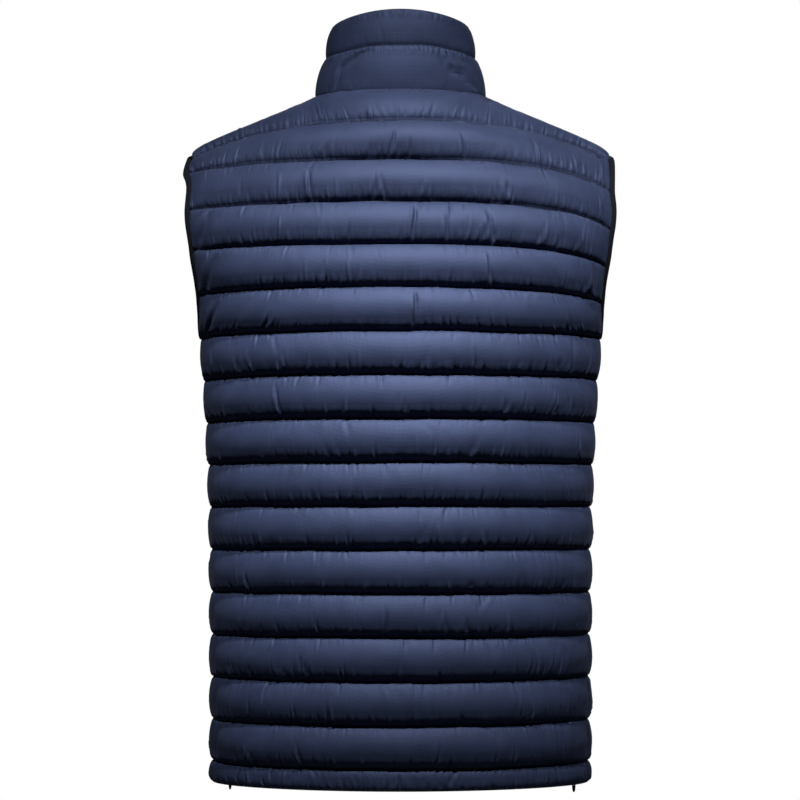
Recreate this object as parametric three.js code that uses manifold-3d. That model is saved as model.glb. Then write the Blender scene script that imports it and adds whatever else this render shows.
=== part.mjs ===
import * as THREE from "three";
import { mergeVertices } from "three/addons/utils/BufferGeometryUtils.js";
import Module from "manifold-3d";

// A light quilted vest with a stand-up collar and a zipped front, filled out as it is worn.
// Sizes are in millimetres. +Z is up, the front faces -Y, and +X is the wearer's left.
// The origin is midway between the neck points, where the shoulder seams meet the collar.
// Each panel is a wall with a plain inner face. Its outer face is raised between the quilting lines.

// The cloth wall
const WALL = 2.4; // shell, pressed padding and inner cloth at a seam
const SEAM_GAP = 0.4; // between two sewn pieces
const BACK_LOFT = 6; // how far a channel stands out at the centre back
const SIDE_LOFT = 2.6; // and at the side seam
const FRONT_LOFT = 5.2;
const HEM_LOFT = 3.2;
const TOP_LOFT = 4; // in the first channel, under the neck seam
const COLLAR_LOFT = 3;
const EDGE_SHARE = 0.4; // the part of the loft that is left at a seam across the channels
const EDGE_REACH = 0.14; // the share of a panel's half width over which it fades
const CHANNEL_SHOULDER = 0.3; // the share of a channel's height over which its loft rises or falls
const FRONT_JOIN = { from: 0.72, to: 0.82, share: 0.8 }; // where a front's line 1 fades out, and to what

// Heights of the quilting lines at the centre back
const LINE_ONE_Z = -36;
const LINE_TWO_Z = -77;
const LINE_THREE_Z = -120.5;
const LINE_PITCH = 43.3;
const LAST_LINE = 16;
const HEM_LINE = 17;
const HEM_Z = -704;
const HEM_BAND = 21.5;

// The neck, shoulders and armholes
const NECK_CENTRE_Y = 4;
const SHOULDER = { x: 214, y: -3, z: -61 };
const LINE_ONE_END = { x: 214, z: -67 };
const ARMHOLE_BOTTOM = 6; // the quilting line that runs into the underarm point
const ARMHOLE_REACH = 53; // half the armhole's width, front to back
const ARMHOLE_FRONT_EXTRA = 2;
const UNDERARM_Y = 4;
const SEAM_DRIFT = 30; // how far the side seam moves back from the underarm to the hem
const SEAM_DRIFT_POWER = 0.8;
const HALF_PANEL = 300; // about half a panel's width, along the cloth
const SHOULDER_LEAN = 0.45; // the sideways lean of the wall's direction on the shoulder seam
const NECK_LEAN = { out: 0.8, up: 0.6 }; // and its lean on the neck seam

// Half widths and depths of the torso at its quilting lines. A higher curve value is less boxy.
const SECTIONS = [
  { line: 2, backWidth: 256, back: 106, backCurve: 0.9, frontWidth: 238, front: 98, frontCurve: 0.75 },
  { line: 3, backWidth: 252, back: 118, backCurve: 0.62, frontWidth: 244, front: 113, frontCurve: 0.6 },
  { line: 4, backWidth: 235, back: 128, backCurve: 0.5, frontWidth: 232, front: 122, frontCurve: 0.5 },
  { line: 5, backWidth: 217, back: 134, backCurve: 0.46, frontWidth: 215, front: 128, frontCurve: 0.46 },
  { line: 6, backWidth: 204, back: 137, backCurve: 0.44, frontWidth: 204, front: 132, frontCurve: 0.44 },
  { line: 7, backWidth: 200, back: 138, backCurve: 0.44, frontWidth: 200, front: 133, frontCurve: 0.44 },
  { line: 8, backWidth: 197, back: 138, backCurve: 0.44, frontWidth: 197, front: 132, frontCurve: 0.44 },
  { line: 10, backWidth: 193, back: 136, backCurve: 0.44, frontWidth: 193, front: 130, frontCurve: 0.44 },
  { line: 13, backWidth: 191, back: 135.5, backCurve: 0.44, frontWidth: 191, front: 129, frontCurve: 0.44 },
  { line: 17, backWidth: 190, back: 137, backCurve: 0.44, frontWidth: 190, front: 130, frontCurve: 0.44 },
];

// How far each quilting line of the back ends above or below its centre. The right side hangs lower.
const LINE_DROPS = [
  { line: 1, left: -31, right: -33 },
  { line: 2, left: -5, right: -24 },
  { line: 3, left: -1, right: -21 },
  { line: 4, left: 1, right: -15 },
  { line: 5, left: -1, right: -8 },
  { line: 6, left: 0, right: 0 },
  { line: 17, left: 0, right: 0 },
];
const DROP_POWER = 3;
const LINE_ONE_POWER = 3.6;
const LINE_ONE_INSET = 14; // how much less deep the back is at line 1 than at line 2

// A front's row at line 1 lies midway from its top edge to line 2 and bulges forward and up.
const CHEST = { forward: 9, least: 2, up: 5, start: 0.12, spread: 1.15 };
const CHEST_EDGE_INSET = 3;
const CHEST_EDGE_POWER = 6;

// The collar's rings: half width, depth behind and before the origin, and heights round it
const COLLAR_RINGS = [
  { halfWidth: 86, backY: 60, frontY: -88, backZ: 0, sideZ: 0, frontZ: -58 },
  { halfWidth: 75, backY: 58, frontY: -77, backZ: 47, sideZ: 40, frontZ: -8 },
  { halfWidth: 67, backY: 56, frontY: -68, backZ: 84, sideZ: 74, frontZ: 33 },
];
const NECK_DROP_POWER = 1.5;

// The zip, down the centre front
const ZIP_HALF_WIDTH = 6; // from the centre to the edge of each front panel
const CHAIN_HALF_WIDTH = 2.6;
const CHAIN_THICKNESS = 2.2;
const TAPE_THICKNESS = 0.8;
const TAPE_INNER_X = 0.4;
const TAPE_OUTER_X = 14;
const CHAIN_TOP = 1.9; // where the zip ends on the collar, in channels
const SLIDER = { width: 9, height: 11, thickness: 1.6, corner: 2.5, collarHeight: 1.72 };
const BRIDGE = { width: 1.6, height: 7.4, rise: 3.4, bar: 1.3 };
const PULL = { width: 7, length: 24, thickness: 1.3, corner: 2, notchWidth: 3, notchLength: 6.5 };
const PIN = { radius: 0.7, sides: 12, clearance: 0.3 };

// The elastic cord in the hem. Its two free loops start and end on the inside of the hem.
const CORD_RADIUS = 0.9;
const CORD_SIDES = 8;
const CORD_LEFT = {
  steps: 28,
  route: [
    [174.7, 54.0, -690.0], [173.3, 53.2, -690.4], [172.0, 52.4, -692.0], [171.5, 51.9, -695.0],
    [171.4, 51.6, -699.0], [171.5, 51.3, -703.5], [171.9, 50.3, -707.2], [172.4, 48.4, -708.6],
    [172.9, 46.6, -707.2], [173.3, 45.6, -703.5], [173.4, 45.4, -699.0], [173.6, 45.7, -695.0],
    [174.6, 46.4, -692.0], [176.3, 47.5, -690.4], [177.9, 48.5, -690.0],
  ],
};
const CORD_RIGHT = {
  steps: 42,
  route: [
    [-175.7, 51.5, -690.0], [-174.9, 50.9, -690.6], [-174.4, 50.6, -692.8], [-174.2, 50.4, -697.0],
    [-174.2, 50.3, -702.0], [-174.3, 50.0, -707.0], [-174.8, 48.7, -710.3], [-175.4, 46.9, -711.4],
    [-176.0, 45.1, -710.3], [-176.4, 43.9, -707.0], [-176.5, 43.4, -702.5], [-176.9, 42.4, -698.6],
    [-177.9, 40.2, -696.6], [-179.2, 37.6, -697.6], [-180.2, 35.4, -700.8], [-181.2, 33.2, -703.6],
    [-182.5, 30.8, -704.4], [-183.7, 28.6, -703.0], [-184.2, 27.5, -699.5], [-184.3, 27.3, -695.0],
    [-184.6, 27.4, -692.2], [-185.1, 27.5, -690.6], [-185.9, 27.6, -690.0],
  ],
};

// The armhole binding
const BINDING_WIDTH = 6.6;
const BINDING_THICKNESS = 4.2;
const BINDING_GAP = 0.5;
const BINDING_OUT = 0.3; // from the middle of the wall's thickness
const BINDING_PROFILE = { outerShoulder: 0.75, innerShoulder: 0.6, corner: 0.55 };

// How finely the walls are divided
const BACK_HALF_COLUMNS = 14;
const BACK_NECK_COLUMNS = 6;
const FRONT_COLUMNS = 15;
const FRONT_NECK_COLUMNS = 7;
const CHANNEL_STEPS = [0, CHANNEL_SHOULDER, 1 - CHANNEL_SHOULDER];
const UNDERARM_STEPS = [0, 0.15, CHANNEL_SHOULDER, 0.5, 1 - CHANNEL_SHOULDER, 0.86, 0.95];
const COLLAR_STEPS = [0, 0.15, 0.3, 0.5, 0.7, 0.86, 1, 1.14, 1.3, 1.5, 1.7, 1.88, 2];
const COLLAR_INNER_STEPS = [0, 0.5, 1, 1.5, 2];
const CURVE_SEGMENTS = 4;
const STEP = 0.004; // for slopes of the surfaces
const TINY = 1e-6;
const MERGE_DISTANCE = 1e-4;
const NORMAL_BLEND = 0.4; // in channels, from a top seam down
const HEIGHT_WEIGHT = 60; // weighs a direction's rise against its spread when it is turned outwards

const lerp = THREE.MathUtils.lerp;
const clamp = THREE.MathUtils.clamp;

// Small helpers

// A smooth curve through one column of a table, whose rows are at their quilting lines.
function tableValue(rows, key, line) {
  const last = rows.length - 1;
  const at = clamp(line, rows[0].line, rows[last].line);
  let i = 0;
  while (i < last - 1 && rows[i + 1].line < at) i += 1;
  const slope = (k) => {
    const before = rows[Math.max(k - 1, 0)];
    const after = rows[Math.min(k + 1, last)];
    return (after[key] - before[key]) / (after.line - before.line);
  };
  const span = rows[i + 1].line - rows[i].line;
  const t = (at - rows[i].line) / span;
  const rise = rows[i + 1][key] - rows[i][key];
  const bend = t * (1 - t) * (1 - t) * slope(i) * span - t * t * (1 - t) * slope(i + 1) * span;
  return rows[i][key] + rise * t * t * (3 - 2 * t) + bend;
}

// Height of a quilting line at the centre back. Fractions lie between two lines.
function lineHeight(line) {
  const fixed = [0, LINE_ONE_Z, LINE_TWO_Z, LINE_THREE_Z];
  const at = (whole) => {
    if (whole < fixed.length) return fixed[whole];
    if (whole === LAST_LINE) return HEM_Z + HEM_BAND;
    if (whole === HEM_LINE) return HEM_Z;
    return LINE_THREE_Z - LINE_PITCH * (whole - 3);
  };
  const lower = Math.min(Math.floor(line), HEM_LINE - 1);
  return lerp(at(lower), at(lower + 1), line - lower);
}

// A slope of a surface function, along one of its two parameters.
function slopeOf(surface, u, v, along, low, high) {
  const at = along === "u" ? u : v;
  const before = Math.max(at - STEP, low);
  const after = Math.min(at + STEP, high);
  const point = (value) => (along === "u" ? surface(value, v) : surface(u, value));
  return point(after).sub(point(before)).divideScalar(after - before);
}

// The torso

// Where the armhole's edge lies at a height: side is 1 behind and -1 in front.
function armholeY(z, side) {
  const bottom = lineHeight(ARMHOLE_BOTTOM);
  const middle = (SHOULDER.z + bottom) / 2;
  const half = (SHOULDER.z - bottom) / 2;
  const t = clamp((z - middle) / half, -1, 1);
  const centre = lerp(UNDERARM_Y, SHOULDER.y, (t + 1) / 2);
  const reach = ARMHOLE_REACH + (side < 0 ? ARMHOLE_FRONT_EXTRA : 0);
  return centre + side * reach * Math.sqrt(1 - t * t);
}

function seamY(line) {
  const down = (line - ARMHOLE_BOTTOM) / (HEM_LINE - ARMHOLE_BOTTOM);
  return UNDERARM_Y + SEAM_DRIFT * Math.pow(clamp(down, 0, 1), SEAM_DRIFT_POWER);
}

function sectionAt(line) {
  const keys = ["backWidth", "back", "backCurve", "frontWidth", "front", "frontCurve"];
  return Object.fromEntries(keys.map((key) => [key, tableValue(SECTIONS, key, line)]));
}

// The angle round a section, from 0 at the centre back to PI at the centre front, that has this depth.
function angleAt(section, y) {
  const behind = y >= 0;
  const depth = behind ? section.back : section.front;
  const curve = behind ? section.backCurve : section.frontCurve;
  const share = Math.acos(Math.pow(Math.abs(y) / depth, 1 / curve)) / (Math.PI / 2);
  const angle = Math.asin(clamp(share, 0, 1));
  return behind ? angle : Math.PI - angle;
}

function sectionPoint(section, angle, z) {
  const behind = angle < Math.PI / 2;
  const share = Math.sin(angle);
  const width = behind ? section.backWidth : section.frontWidth;
  const depth = behind ? section.back : -section.front;
  const curve = behind ? section.backCurve : section.frontCurve;
  const inward = Math.max(Math.cos((Math.PI / 2) * share), 0);
  return new THREE.Vector3(width * share, depth * Math.pow(inward, curve), z);
}

function edgeDrop(line, side) {
  return tableValue(LINE_DROPS, side > 0 ? "left" : "right", line);
}

// The neck ring and the collar's rings above it. The angle is 0 at the centre back and PI in front.
function ringPoint(ring, angle) {
  const share = Math.sin(angle);
  const forward = -Math.cos(angle);
  const yReach = forward < 0 ? ring.backY - NECK_CENTRE_Y : NECK_CENTRE_Y - ring.frontY;
  const z =
    forward < 0
      ? lerp(ring.sideZ, ring.backZ, forward * forward)
      : lerp(ring.sideZ, ring.frontZ, Math.pow(forward, NECK_DROP_POWER));
  return new THREE.Vector3(ring.halfWidth * share, NECK_CENTRE_Y - yReach * forward, z);
}

// The parabola through the three rings: height is 0 at the neck seam, 1 at the stitched line, 2 on top.
function collarRing(height) {
  const [base, stitch, top] = COLLAR_RINGS;
  const mix = (key) => {
    const bend = (base[key] + top[key]) / 2 - stitch[key];
    return base[key] + (2 * stitch[key] - 1.5 * base[key] - 0.5 * top[key]) * height + bend * height * height;
  };
  return Object.fromEntries(Object.keys(base).map((key) => [key, mix(key)]));
}

function ringFrontAngle(ring) {
  return Math.PI - Math.asin(ZIP_HALF_WIDTH / ring.halfWidth);
}

function shoulderNormal() {
  return new THREE.Vector3(SHOULDER_LEAN, 0, Math.sqrt(1 - SHOULDER_LEAN * SHOULDER_LEAN));
}

// The wall's direction at the neck seam leans halfway between the collar and the shoulders.
function neckNormal(angle) {
  const { out, up } = NECK_LEAN;
  const normal = new THREE.Vector3(out * Math.sin(angle), out * Math.cos(angle), up).normalize();
  const atNeckPoint = Math.abs(angle - Math.PI / 2) < TINY;
  return atNeckPoint ? normal.add(shoulderNormal()).normalize() : normal;
}

// The top edge of a half panel: the neck seam as far as the neck point, then the shoulder seam.
function topEdge(neckAngle, shoulderShare) {
  const neckPoint = ringPoint(COLLAR_RINGS[0], Math.PI / 2);
  if (shoulderShare < TINY) {
    return { point: ringPoint(COLLAR_RINGS[0], neckAngle), normal: neckNormal(neckAngle) };
  }
  const tip = new THREE.Vector3(SHOULDER.x, SHOULDER.y, SHOULDER.z);
  return { point: neckPoint.lerp(tip, shoulderShare), normal: shoulderNormal() };
}

// A point on each column between the rows at lines 0, 1, 2 and 3.
function shoulderColumn(rows, line) {
  return new THREE.CatmullRomCurve3(rows).getPoint(clamp(line / 3, 0, 1));
}

// The back: u runs from 0 at the centre to 1 at its edge, on the side given by 1 or -1.

function backTop(u) {
  const neckShare = BACK_NECK_COLUMNS / BACK_HALF_COLUMNS;
  const onNeck = Math.min(u / neckShare, 1);
  return topEdge((onNeck * Math.PI) / 2, (u - neckShare) / (1 - neckShare));
}

function backLineOne(u, side) {
  const edgeY = armholeY(LINE_ONE_END.z, 1);
  const depth = sectionAt(2).back - LINE_ONE_INSET;
  const y = edgeY + (depth - edgeY) * Math.pow(Math.cos((Math.PI / 2) * u), 2);
  const z = LINE_ONE_Z + edgeDrop(1, side) * Math.pow(u, LINE_ONE_POWER);
  return new THREE.Vector3(LINE_ONE_END.x * u, y, z);
}

function backRow(u, line, side) {
  const z = lineHeight(line);
  const drop = edgeDrop(line, side);
  const edgeY = line < ARMHOLE_BOTTOM ? armholeY(z + drop, 1) : seamY(line);
  const edgeAngle = angleAt(sectionAt(line - drop / LINE_PITCH), edgeY);
  const fall = drop * Math.pow(Math.abs(u), DROP_POWER);
  return sectionPoint(sectionAt(line - fall / LINE_PITCH), u * edgeAngle, z + fall);
}

function backHalf(u, line, side) {
  if (line >= 2) return backRow(u, line, side);
  const rows = [backTop(Math.abs(u)).point, backLineOne(Math.abs(u), side)];
  rows.push(backRow(Math.abs(u), 2, side), backRow(Math.abs(u), 3, side));
  return shoulderColumn(rows, line);
}

// u from -1 at the wearer's right to 1 at the left.
function backPoint(u, line) {
  const side = u < 0 ? -1 : 1;
  const point = backHalf(Math.abs(u), line, side);
  point.x *= side;
  return point;
}

// A front: w runs from 0 at its outer edge to 1 at the zip.

function frontTop(w) {
  const shoulderEnd = 1 - FRONT_NECK_COLUMNS / FRONT_COLUMNS;
  const frontAngle = ringFrontAngle(COLLAR_RINGS[0]);
  const onNeck = Math.max(w - shoulderEnd, 0) / (1 - shoulderEnd);
  return topEdge(lerp(Math.PI / 2, frontAngle, onNeck), 1 - w / shoulderEnd);
}

function frontRow(w, line) {
  const section = sectionAt(line);
  const z = lineHeight(line);
  const edgeY = line < ARMHOLE_BOTTOM ? armholeY(z, -1) : seamY(line);
  const last = Math.PI - Math.asin(ZIP_HALF_WIDTH / section.frontWidth);
  return sectionPoint(section, lerp(angleAt(section, edgeY), last, w), z);
}

// The row halfway between the top edge and line 2. Its outer part is quilting line 1.
function frontRowOne(w) {
  const middle = (at) => {
    const rounding = Math.sin(Math.PI * Math.min(CHEST.spread * at + CHEST.start, 1));
    const point = frontTop(at).point.add(frontRow(at, 2)).multiplyScalar(0.5);
    return point.add(new THREE.Vector3(0, -CHEST.forward * rounding - CHEST.least, CHEST.up * rounding));
  };
  const edgeX = LINE_ONE_END.x - CHEST_EDGE_INSET;
  const edge = new THREE.Vector3(edgeX, armholeY(LINE_ONE_END.z, -1), LINE_ONE_END.z);
  return middle(w).addScaledVector(edge.sub(middle(0)), Math.pow(1 - w, CHEST_EDGE_POWER));
}

function frontPoint(w, line) {
  if (line >= 2) return frontRow(w, line);
  return shoulderColumn([frontTop(w).point, frontRowOne(w), frontRow(w, 2), frontRow(w, 3)], line);
}

// The quilting: how far the outer face stands out from the pressed wall.

function channelProfile(line) {
  const down = line - Math.floor(line);
  return Math.min(Math.min(down, 1 - down) / CHANNEL_SHOULDER, 1);
}

function channelSize(line, full) {
  if (line < 1) return TOP_LOFT;
  if (line > LAST_LINE) return HEM_LOFT;
  return full;
}

function edgeFade(distance) {
  const t = clamp(distance / EDGE_REACH, 0, 1);
  return lerp(EDGE_SHARE, 1, t * (2 - t));
}

function backLoft(u, line) {
  const out = Math.abs(u);
  const full = lerp(BACK_LOFT, SIDE_LOFT, Math.pow(out, 3));
  return channelSize(line, full) * channelProfile(line) * edgeFade(1 - out);
}

function frontLoft(w, line) {
  const full = lerp(SIDE_LOFT, FRONT_LOFT, 1 - Math.pow(1 - w, 3));
  const fade = edgeFade(w) * edgeFade(1 - w);
  // The first quilting line stops at the neck seam, so the channel there is one piece down to line 2.
  const onLineOne = Math.abs(line - 1) < TINY;
  const joined = onLineOne ? THREE.MathUtils.smoothstep(w, FRONT_JOIN.from, FRONT_JOIN.to) : 0;
  return Math.max(channelProfile(line), FRONT_JOIN.share * joined) * channelSize(line, full) * fade;
}

// Closed walls

// Collects the points and triangles of one closed body and turns its faces outwards.
class Shell {
  constructor() {
    this.points = [];
    this.triangles = [];
  }

  addRow(row) {
    return row.map((point) => this.points.push(point) - 1);
  }

  triangle(a, b, c) {
    this.triangles.push([a, b, c]);
  }

  // Faces between rows of point numbers. turned gives the other face of a wall.
  grid(rows, turned) {
    for (let r = 0; r + 1 < rows.length; r += 1) {
      for (let c = 0; c + 1 < rows[r].length; c += 1) {
        const [a, b, d, e] = [rows[r][c], rows[r][c + 1], rows[r + 1][c], rows[r + 1][c + 1]];
        if (turned) {
          this.triangle(a, d, b);
          this.triangle(b, d, e);
        } else {
          this.triangle(a, b, d);
          this.triangle(b, e, d);
        }
      }
    }
  }

  // Faces between two edges that may be divided differently. Each entry is a point number and its place.
  stitch(first, second) {
    let i = 0;
    let j = 0;
    while (i + 1 < first.length || j + 1 < second.length) {
      const firstNext = i + 1 < first.length;
      const secondNext = j + 1 < second.length;
      if (firstNext && (!secondNext || first[i + 1].at <= second[j + 1].at)) {
        this.triangle(first[i + 1].id, first[i].id, second[j].id);
        i += 1;
      } else {
        this.triangle(first[i].id, second[j].id, second[j + 1].id);
        j += 1;
      }
    }
  }

  volume() {
    const corner = new THREE.Vector3();
    return this.triangles.reduce((sum, [a, b, c]) => {
      const [p, q, r] = [this.points[a], this.points[b], this.points[c]];
      return sum + p.dot(corner.crossVectors(q, r)) / 6;
    }, 0);
  }

  geometry() {
    const flip = this.volume() < 0;
    const index = this.triangles.flatMap(([a, b, c]) => (flip ? [a, c, b] : [a, b, c]));
    const geometry = new THREE.BufferGeometry().setFromPoints(this.points);
    geometry.setIndex(index);
    geometry.computeVertexNormals();
    return geometry;
  }
}

// A wall from its outer and inner rows of points, closed along its four edges.
// Each side is { places, rows }, where places are the rows' places, from the top down.
function closedWall(outer, inner) {
  const shell = new Shell();
  const outerRows = outer.rows.map((row) => shell.addRow(row));
  const innerRows = inner.rows.map((row) => shell.addRow(row));
  shell.grid(outerRows, false);
  shell.grid(innerRows, true);
  const edge = (rows, places, which) => {
    const last = rows.length - 1;
    const columns = rows[0].length - 1;
    if (which === "top") return rows[0].map((id, c) => ({ id, at: c }));
    if (which === "bottom") return rows[last].map((id, c) => ({ id, at: -c })).reverse();
    const column = rows.map((row, r) => ({ id: row[which === "end" ? columns : 0], at: places[r] }));
    return which === "end" ? column : column.map(({ id, at }) => ({ id, at: -at })).reverse();
  };
  for (const which of ["top", "end", "bottom", "start"]) {
    shell.stitch(edge(outerRows, outer.places, which), edge(innerRows, inner.places, which));
  }
  return shell.geometry();
}

// The quilting lines and the steps between them, for the outer face or the plain inner face.
function rowPlaces(inside) {
  const places = [];
  for (let line = 0; line < HEM_LINE; line += 1) {
    let steps = CHANNEL_STEPS;
    if (line === ARMHOLE_BOTTOM - 1) steps = UNDERARM_STEPS;
    else if (inside && line >= ARMHOLE_BOTTOM) steps = [0];
    places.push(...steps.map((step) => line + step));
  }
  places.push(HEM_LINE);
  places[0] = SEAM_GAP / 2 / LINE_PITCH;
  return places;
}

// The wall's direction at a point of a panel, taken from the surface, or from the seam near a top edge.
function wallNormal(surface, topNormal, u, line, low) {
  const across = slopeOf(surface, u, line, "u", low, 1);
  const down = slopeOf(surface, u, line, "v", 0, HEM_LINE);
  const normal = across.cross(down).normalize();
  const point = surface(u, line);
  if (normal.x * point.x + normal.y * point.y + normal.z * HEIGHT_WEIGHT < 0) normal.negate();
  const share = clamp(1 - line / NORMAL_BLEND, 0, 1);
  return normal.lerp(topNormal, share).normalize();
}

function backNormal(u, line) {
  const top = backTop(Math.abs(u)).normal;
  if (u < 0) top.x *= -1;
  return wallNormal(backPoint, top, u, line, -1);
}

// The side seam lies on one surface, so both panels take the back's direction there.
function frontNormal(w, line) {
  if (w === 0 && line >= ARMHOLE_BOTTOM) return backNormal(1, line);
  return wallNormal(frontPoint, frontTop(w).normal, w, line, 0);
}

// A panel's points: columns are places across it, and point, normal and loft are its functions.
function panelRows(places, columns, panel, raised) {
  return places.map((line) =>
    columns.map((across) => {
      const out = raised ? WALL + panel.loft(across, line) : 0;
      return panel.point(across, line).addScaledVector(panel.normal(across, line), out);
    }),
  );
}

function panelGeometry(columns, panel, mirrored) {
  const build = (inside) => {
    const places = rowPlaces(inside);
    const rows = panelRows(places, columns, panel, !inside);
    if (mirrored) rows.flat().forEach((point) => (point.x *= -1));
    return { places, rows };
  };
  return closedWall(build(false), build(true));
}

function evenSteps(from, to, count) {
  return Array.from({ length: count + 1 }, (_, i) => lerp(from, to, i / count));
}

// The side edges stay half a seam gap short of the seam.
const SIDE_INSET = SEAM_GAP / 2 / HALF_PANEL;

const BACK = { point: backPoint, normal: backNormal, loft: backLoft };
const FRONT = { point: frontPoint, normal: frontNormal, loft: frontLoft };

function makeBack() {
  const columns = evenSteps(-1, 1, 2 * BACK_HALF_COLUMNS);
  columns[0] += SIDE_INSET;
  columns[columns.length - 1] -= SIDE_INSET;
  return panelGeometry(columns, BACK, false);
}

function makeFront(side) {
  const columns = evenSteps(0, 1, FRONT_COLUMNS);
  columns[0] += SIDE_INSET;
  return panelGeometry(columns, FRONT, side < 0);
}

// The collar, from -1 and 1 at its two front ends to 0 at the centre back.
// Its columns are those of the panels' neck seams, so the pieces meet all round.

function collarColumns() {
  const quarter = Math.PI / 2;
  const frontEnd = ringFrontAngle(COLLAR_RINGS[0]);
  const back = evenSteps(0, quarter, BACK_NECK_COLUMNS);
  const front = evenSteps(quarter, frontEnd, FRONT_NECK_COLUMNS).slice(1);
  const half = [...back, ...front].map((angle) => angle / frontEnd);
  return [...half.slice(1).map((share) => -share).reverse(), ...half];
}

function collarPoint(around, height) {
  const ring = collarRing(height);
  const point = ringPoint(ring, Math.abs(around) * ringFrontAngle(ring));
  if (around < 0) point.x *= -1;
  return point;
}

function collarNormal(around, height) {
  const across = slopeOf(collarPoint, around, height, "u", -1, 1);
  const up = slopeOf(collarPoint, around, height, "v", 0, 2);
  const normal = across.cross(up).normalize();
  const point = collarPoint(around, height);
  if (normal.x * point.x + normal.y * (point.y - NECK_CENTRE_Y) < 0) normal.negate();
  const seam = neckNormal(Math.abs(around) * ringFrontAngle(COLLAR_RINGS[0]));
  if (around < 0) seam.x *= -1;
  return normal.lerp(seam, clamp(1 - height / NORMAL_BLEND, 0, 1)).normalize();
}

function collarLoft(around, height) {
  if (height >= 2) return 0;
  return COLLAR_LOFT * channelProfile(height) * edgeFade(1 - Math.abs(around));
}

function collarRows(heights, raised) {
  const columns = collarColumns();
  return heights.map((height) =>
    columns.map((around) => {
      const at = Math.max(height, SEAM_GAP / 2 / LINE_PITCH);
      const out = raised ? WALL + collarLoft(around, height) : 0;
      return collarPoint(around, at).addScaledVector(collarNormal(around, height), out);
    }),
  );
}

function makeCollar() {
  return closedWall(
    { places: COLLAR_STEPS, rows: collarRows(COLLAR_STEPS, true) },
    { places: COLLAR_INNER_STEPS, rows: collarRows(COLLAR_INNER_STEPS, false) },
  );
}

// The armhole bindings

// Stations round an armhole, down the back edge and up the front edge.
function armholeStations() {
  const places = rowPlaces(false).filter((line) => line <= ARMHOLE_BOTTOM);
  places[0] = 0;
  const back = places.map((line) => ({ surface: BACK, across: 1, line }));
  const front = places.slice(1, -1).map((line) => ({ surface: FRONT, across: 0, line }));
  return [...back, ...front.reverse()];
}

// The right armhole has the back's lower lines on its rear edge.
function stationPoint({ surface, across, line }, side) {
  if (surface === FRONT) return surface.point(across, line);
  const point = surface.point(across * side, line);
  point.x *= side;
  return point;
}

function stationNormal({ surface, across, line }, side) {
  if (surface === FRONT) return surface.normal(across, line);
  const normal = surface.normal(across * side, line);
  normal.x *= side;
  return normal;
}

// A band's section: along the wall's surface and out from it, with rounded corners.
function bandSection(width, thickness) {
  const [w, t] = [width / 2, thickness / 2];
  const { outerShoulder, innerShoulder, corner } = BINDING_PROFILE;
  return [
    [-w, -t * corner], [-w * outerShoulder, -t], [w * innerShoulder, -t], [w, -t * corner],
    [w, t * corner], [w * innerShoulder, t], [-w * outerShoulder, t], [-w, t * corner],
  ];
}

// Each value of a closed loop, averaged with its two neighbours.
function smoothed(loop) {
  return loop.map((value, i) => {
    const before = loop[(i + loop.length - 1) % loop.length];
    const after = loop[(i + 1) % loop.length];
    return value.clone().multiplyScalar(2).add(before).add(after).normalize();
  });
}

function makeBinding(side) {
  const stations = armholeStations();
  const points = stations.map((station) => stationPoint(station, side));
  const middle = points.reduce((sum, point) => sum.add(point), new THREE.Vector3());
  middle.divideScalar(points.length);
  const normals = smoothed(smoothed(stations.map((station) => stationNormal(station, side))));
  const shell = new Shell();
  const rings = points.map((point, i) => {
    const before = points[(i + points.length - 1) % points.length];
    const after = points[(i + 1) % points.length];
    const along = after.clone().sub(before).normalize();
    const normal = normals[i].addScaledVector(along, -normals[i].dot(along)).normalize();
    const inward = normal.clone().cross(along).normalize();
    if (inward.dot(middle.clone().sub(point)) < 0) inward.negate();
    const ring = bandSection(BINDING_WIDTH, BINDING_THICKNESS).map(([a, b]) => {
      const place = point.clone().addScaledVector(inward, BINDING_GAP + BINDING_WIDTH / 2 + a);
      place.addScaledVector(normal, WALL / 2 + BINDING_OUT + b);
      place.x *= side;
      return place;
    });
    return shell.addRow(ring);
  });
  const closed = [...rings, rings[0]].map((ring) => [...ring, ring[0]]);
  shell.grid(closed, false);
  return shell.geometry();
}

// The zip

// A point of the zip's line at a distance from the centre, on the flat face beside the front edge.
function besideEdge(surface, line, x) {
  const edge = surface(1, line);
  const inner = surface(1 - 1 / FRONT_COLUMNS, line);
  const share = Math.max((x - edge.x) / (inner.x - edge.x), 0);
  return edge.lerp(inner, share).setX(x);
}

// Points down the zip: on the collar first, then on the panels.
function zipStations(x) {
  const collar = [CHAIN_TOP, ...COLLAR_INNER_STEPS.slice(1, -1).reverse()].map((height) => ({
    point: besideEdge(collarPoint, height, x),
    normal: collarNormal(1, height),
  }));
  const [neckSeam] = rowPlaces(true);
  const panel = [neckSeam, ...evenSteps(1, HEM_LINE, HEM_LINE - 1)].map((line) => ({
    point: besideEdge(frontPoint, line, x),
    normal: frontNormal(1, line),
  }));
  return [...collar, ...panel].map(({ point, normal }) => ({
    point,
    normal: normal.setX(0).normalize(),
  }));
}

// A strip between two columns of stations, from one depth in the wall to another.
function strip(firstColumn, secondColumn, low, high) {
  const row = (column, out) =>
    column.map(({ point, normal }) => point.clone().addScaledVector(normal, out));
  const under = [row(firstColumn, low), row(secondColumn, low)];
  const lines = [...under, row(secondColumn, high), row(firstColumn, high)];
  const shell = new Shell();
  const ids = lines.map((line) => shell.addRow(line));
  shell.grid([...ids, ids[0]], false);
  const last = ids[0].length - 1;
  for (const [end, order] of [[0, [0, 1, 2, 3]], [last, [3, 2, 1, 0]]]) {
    const [a, b, c, d] = order.map((i) => ids[i][end]);
    shell.triangle(a, b, c);
    shell.triangle(a, c, d);
  }
  return shell.geometry();
}

function mirrorStations(stations) {
  return stations.map(({ point, normal }) => ({ point: point.clone().setX(-point.x), normal }));
}

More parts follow.
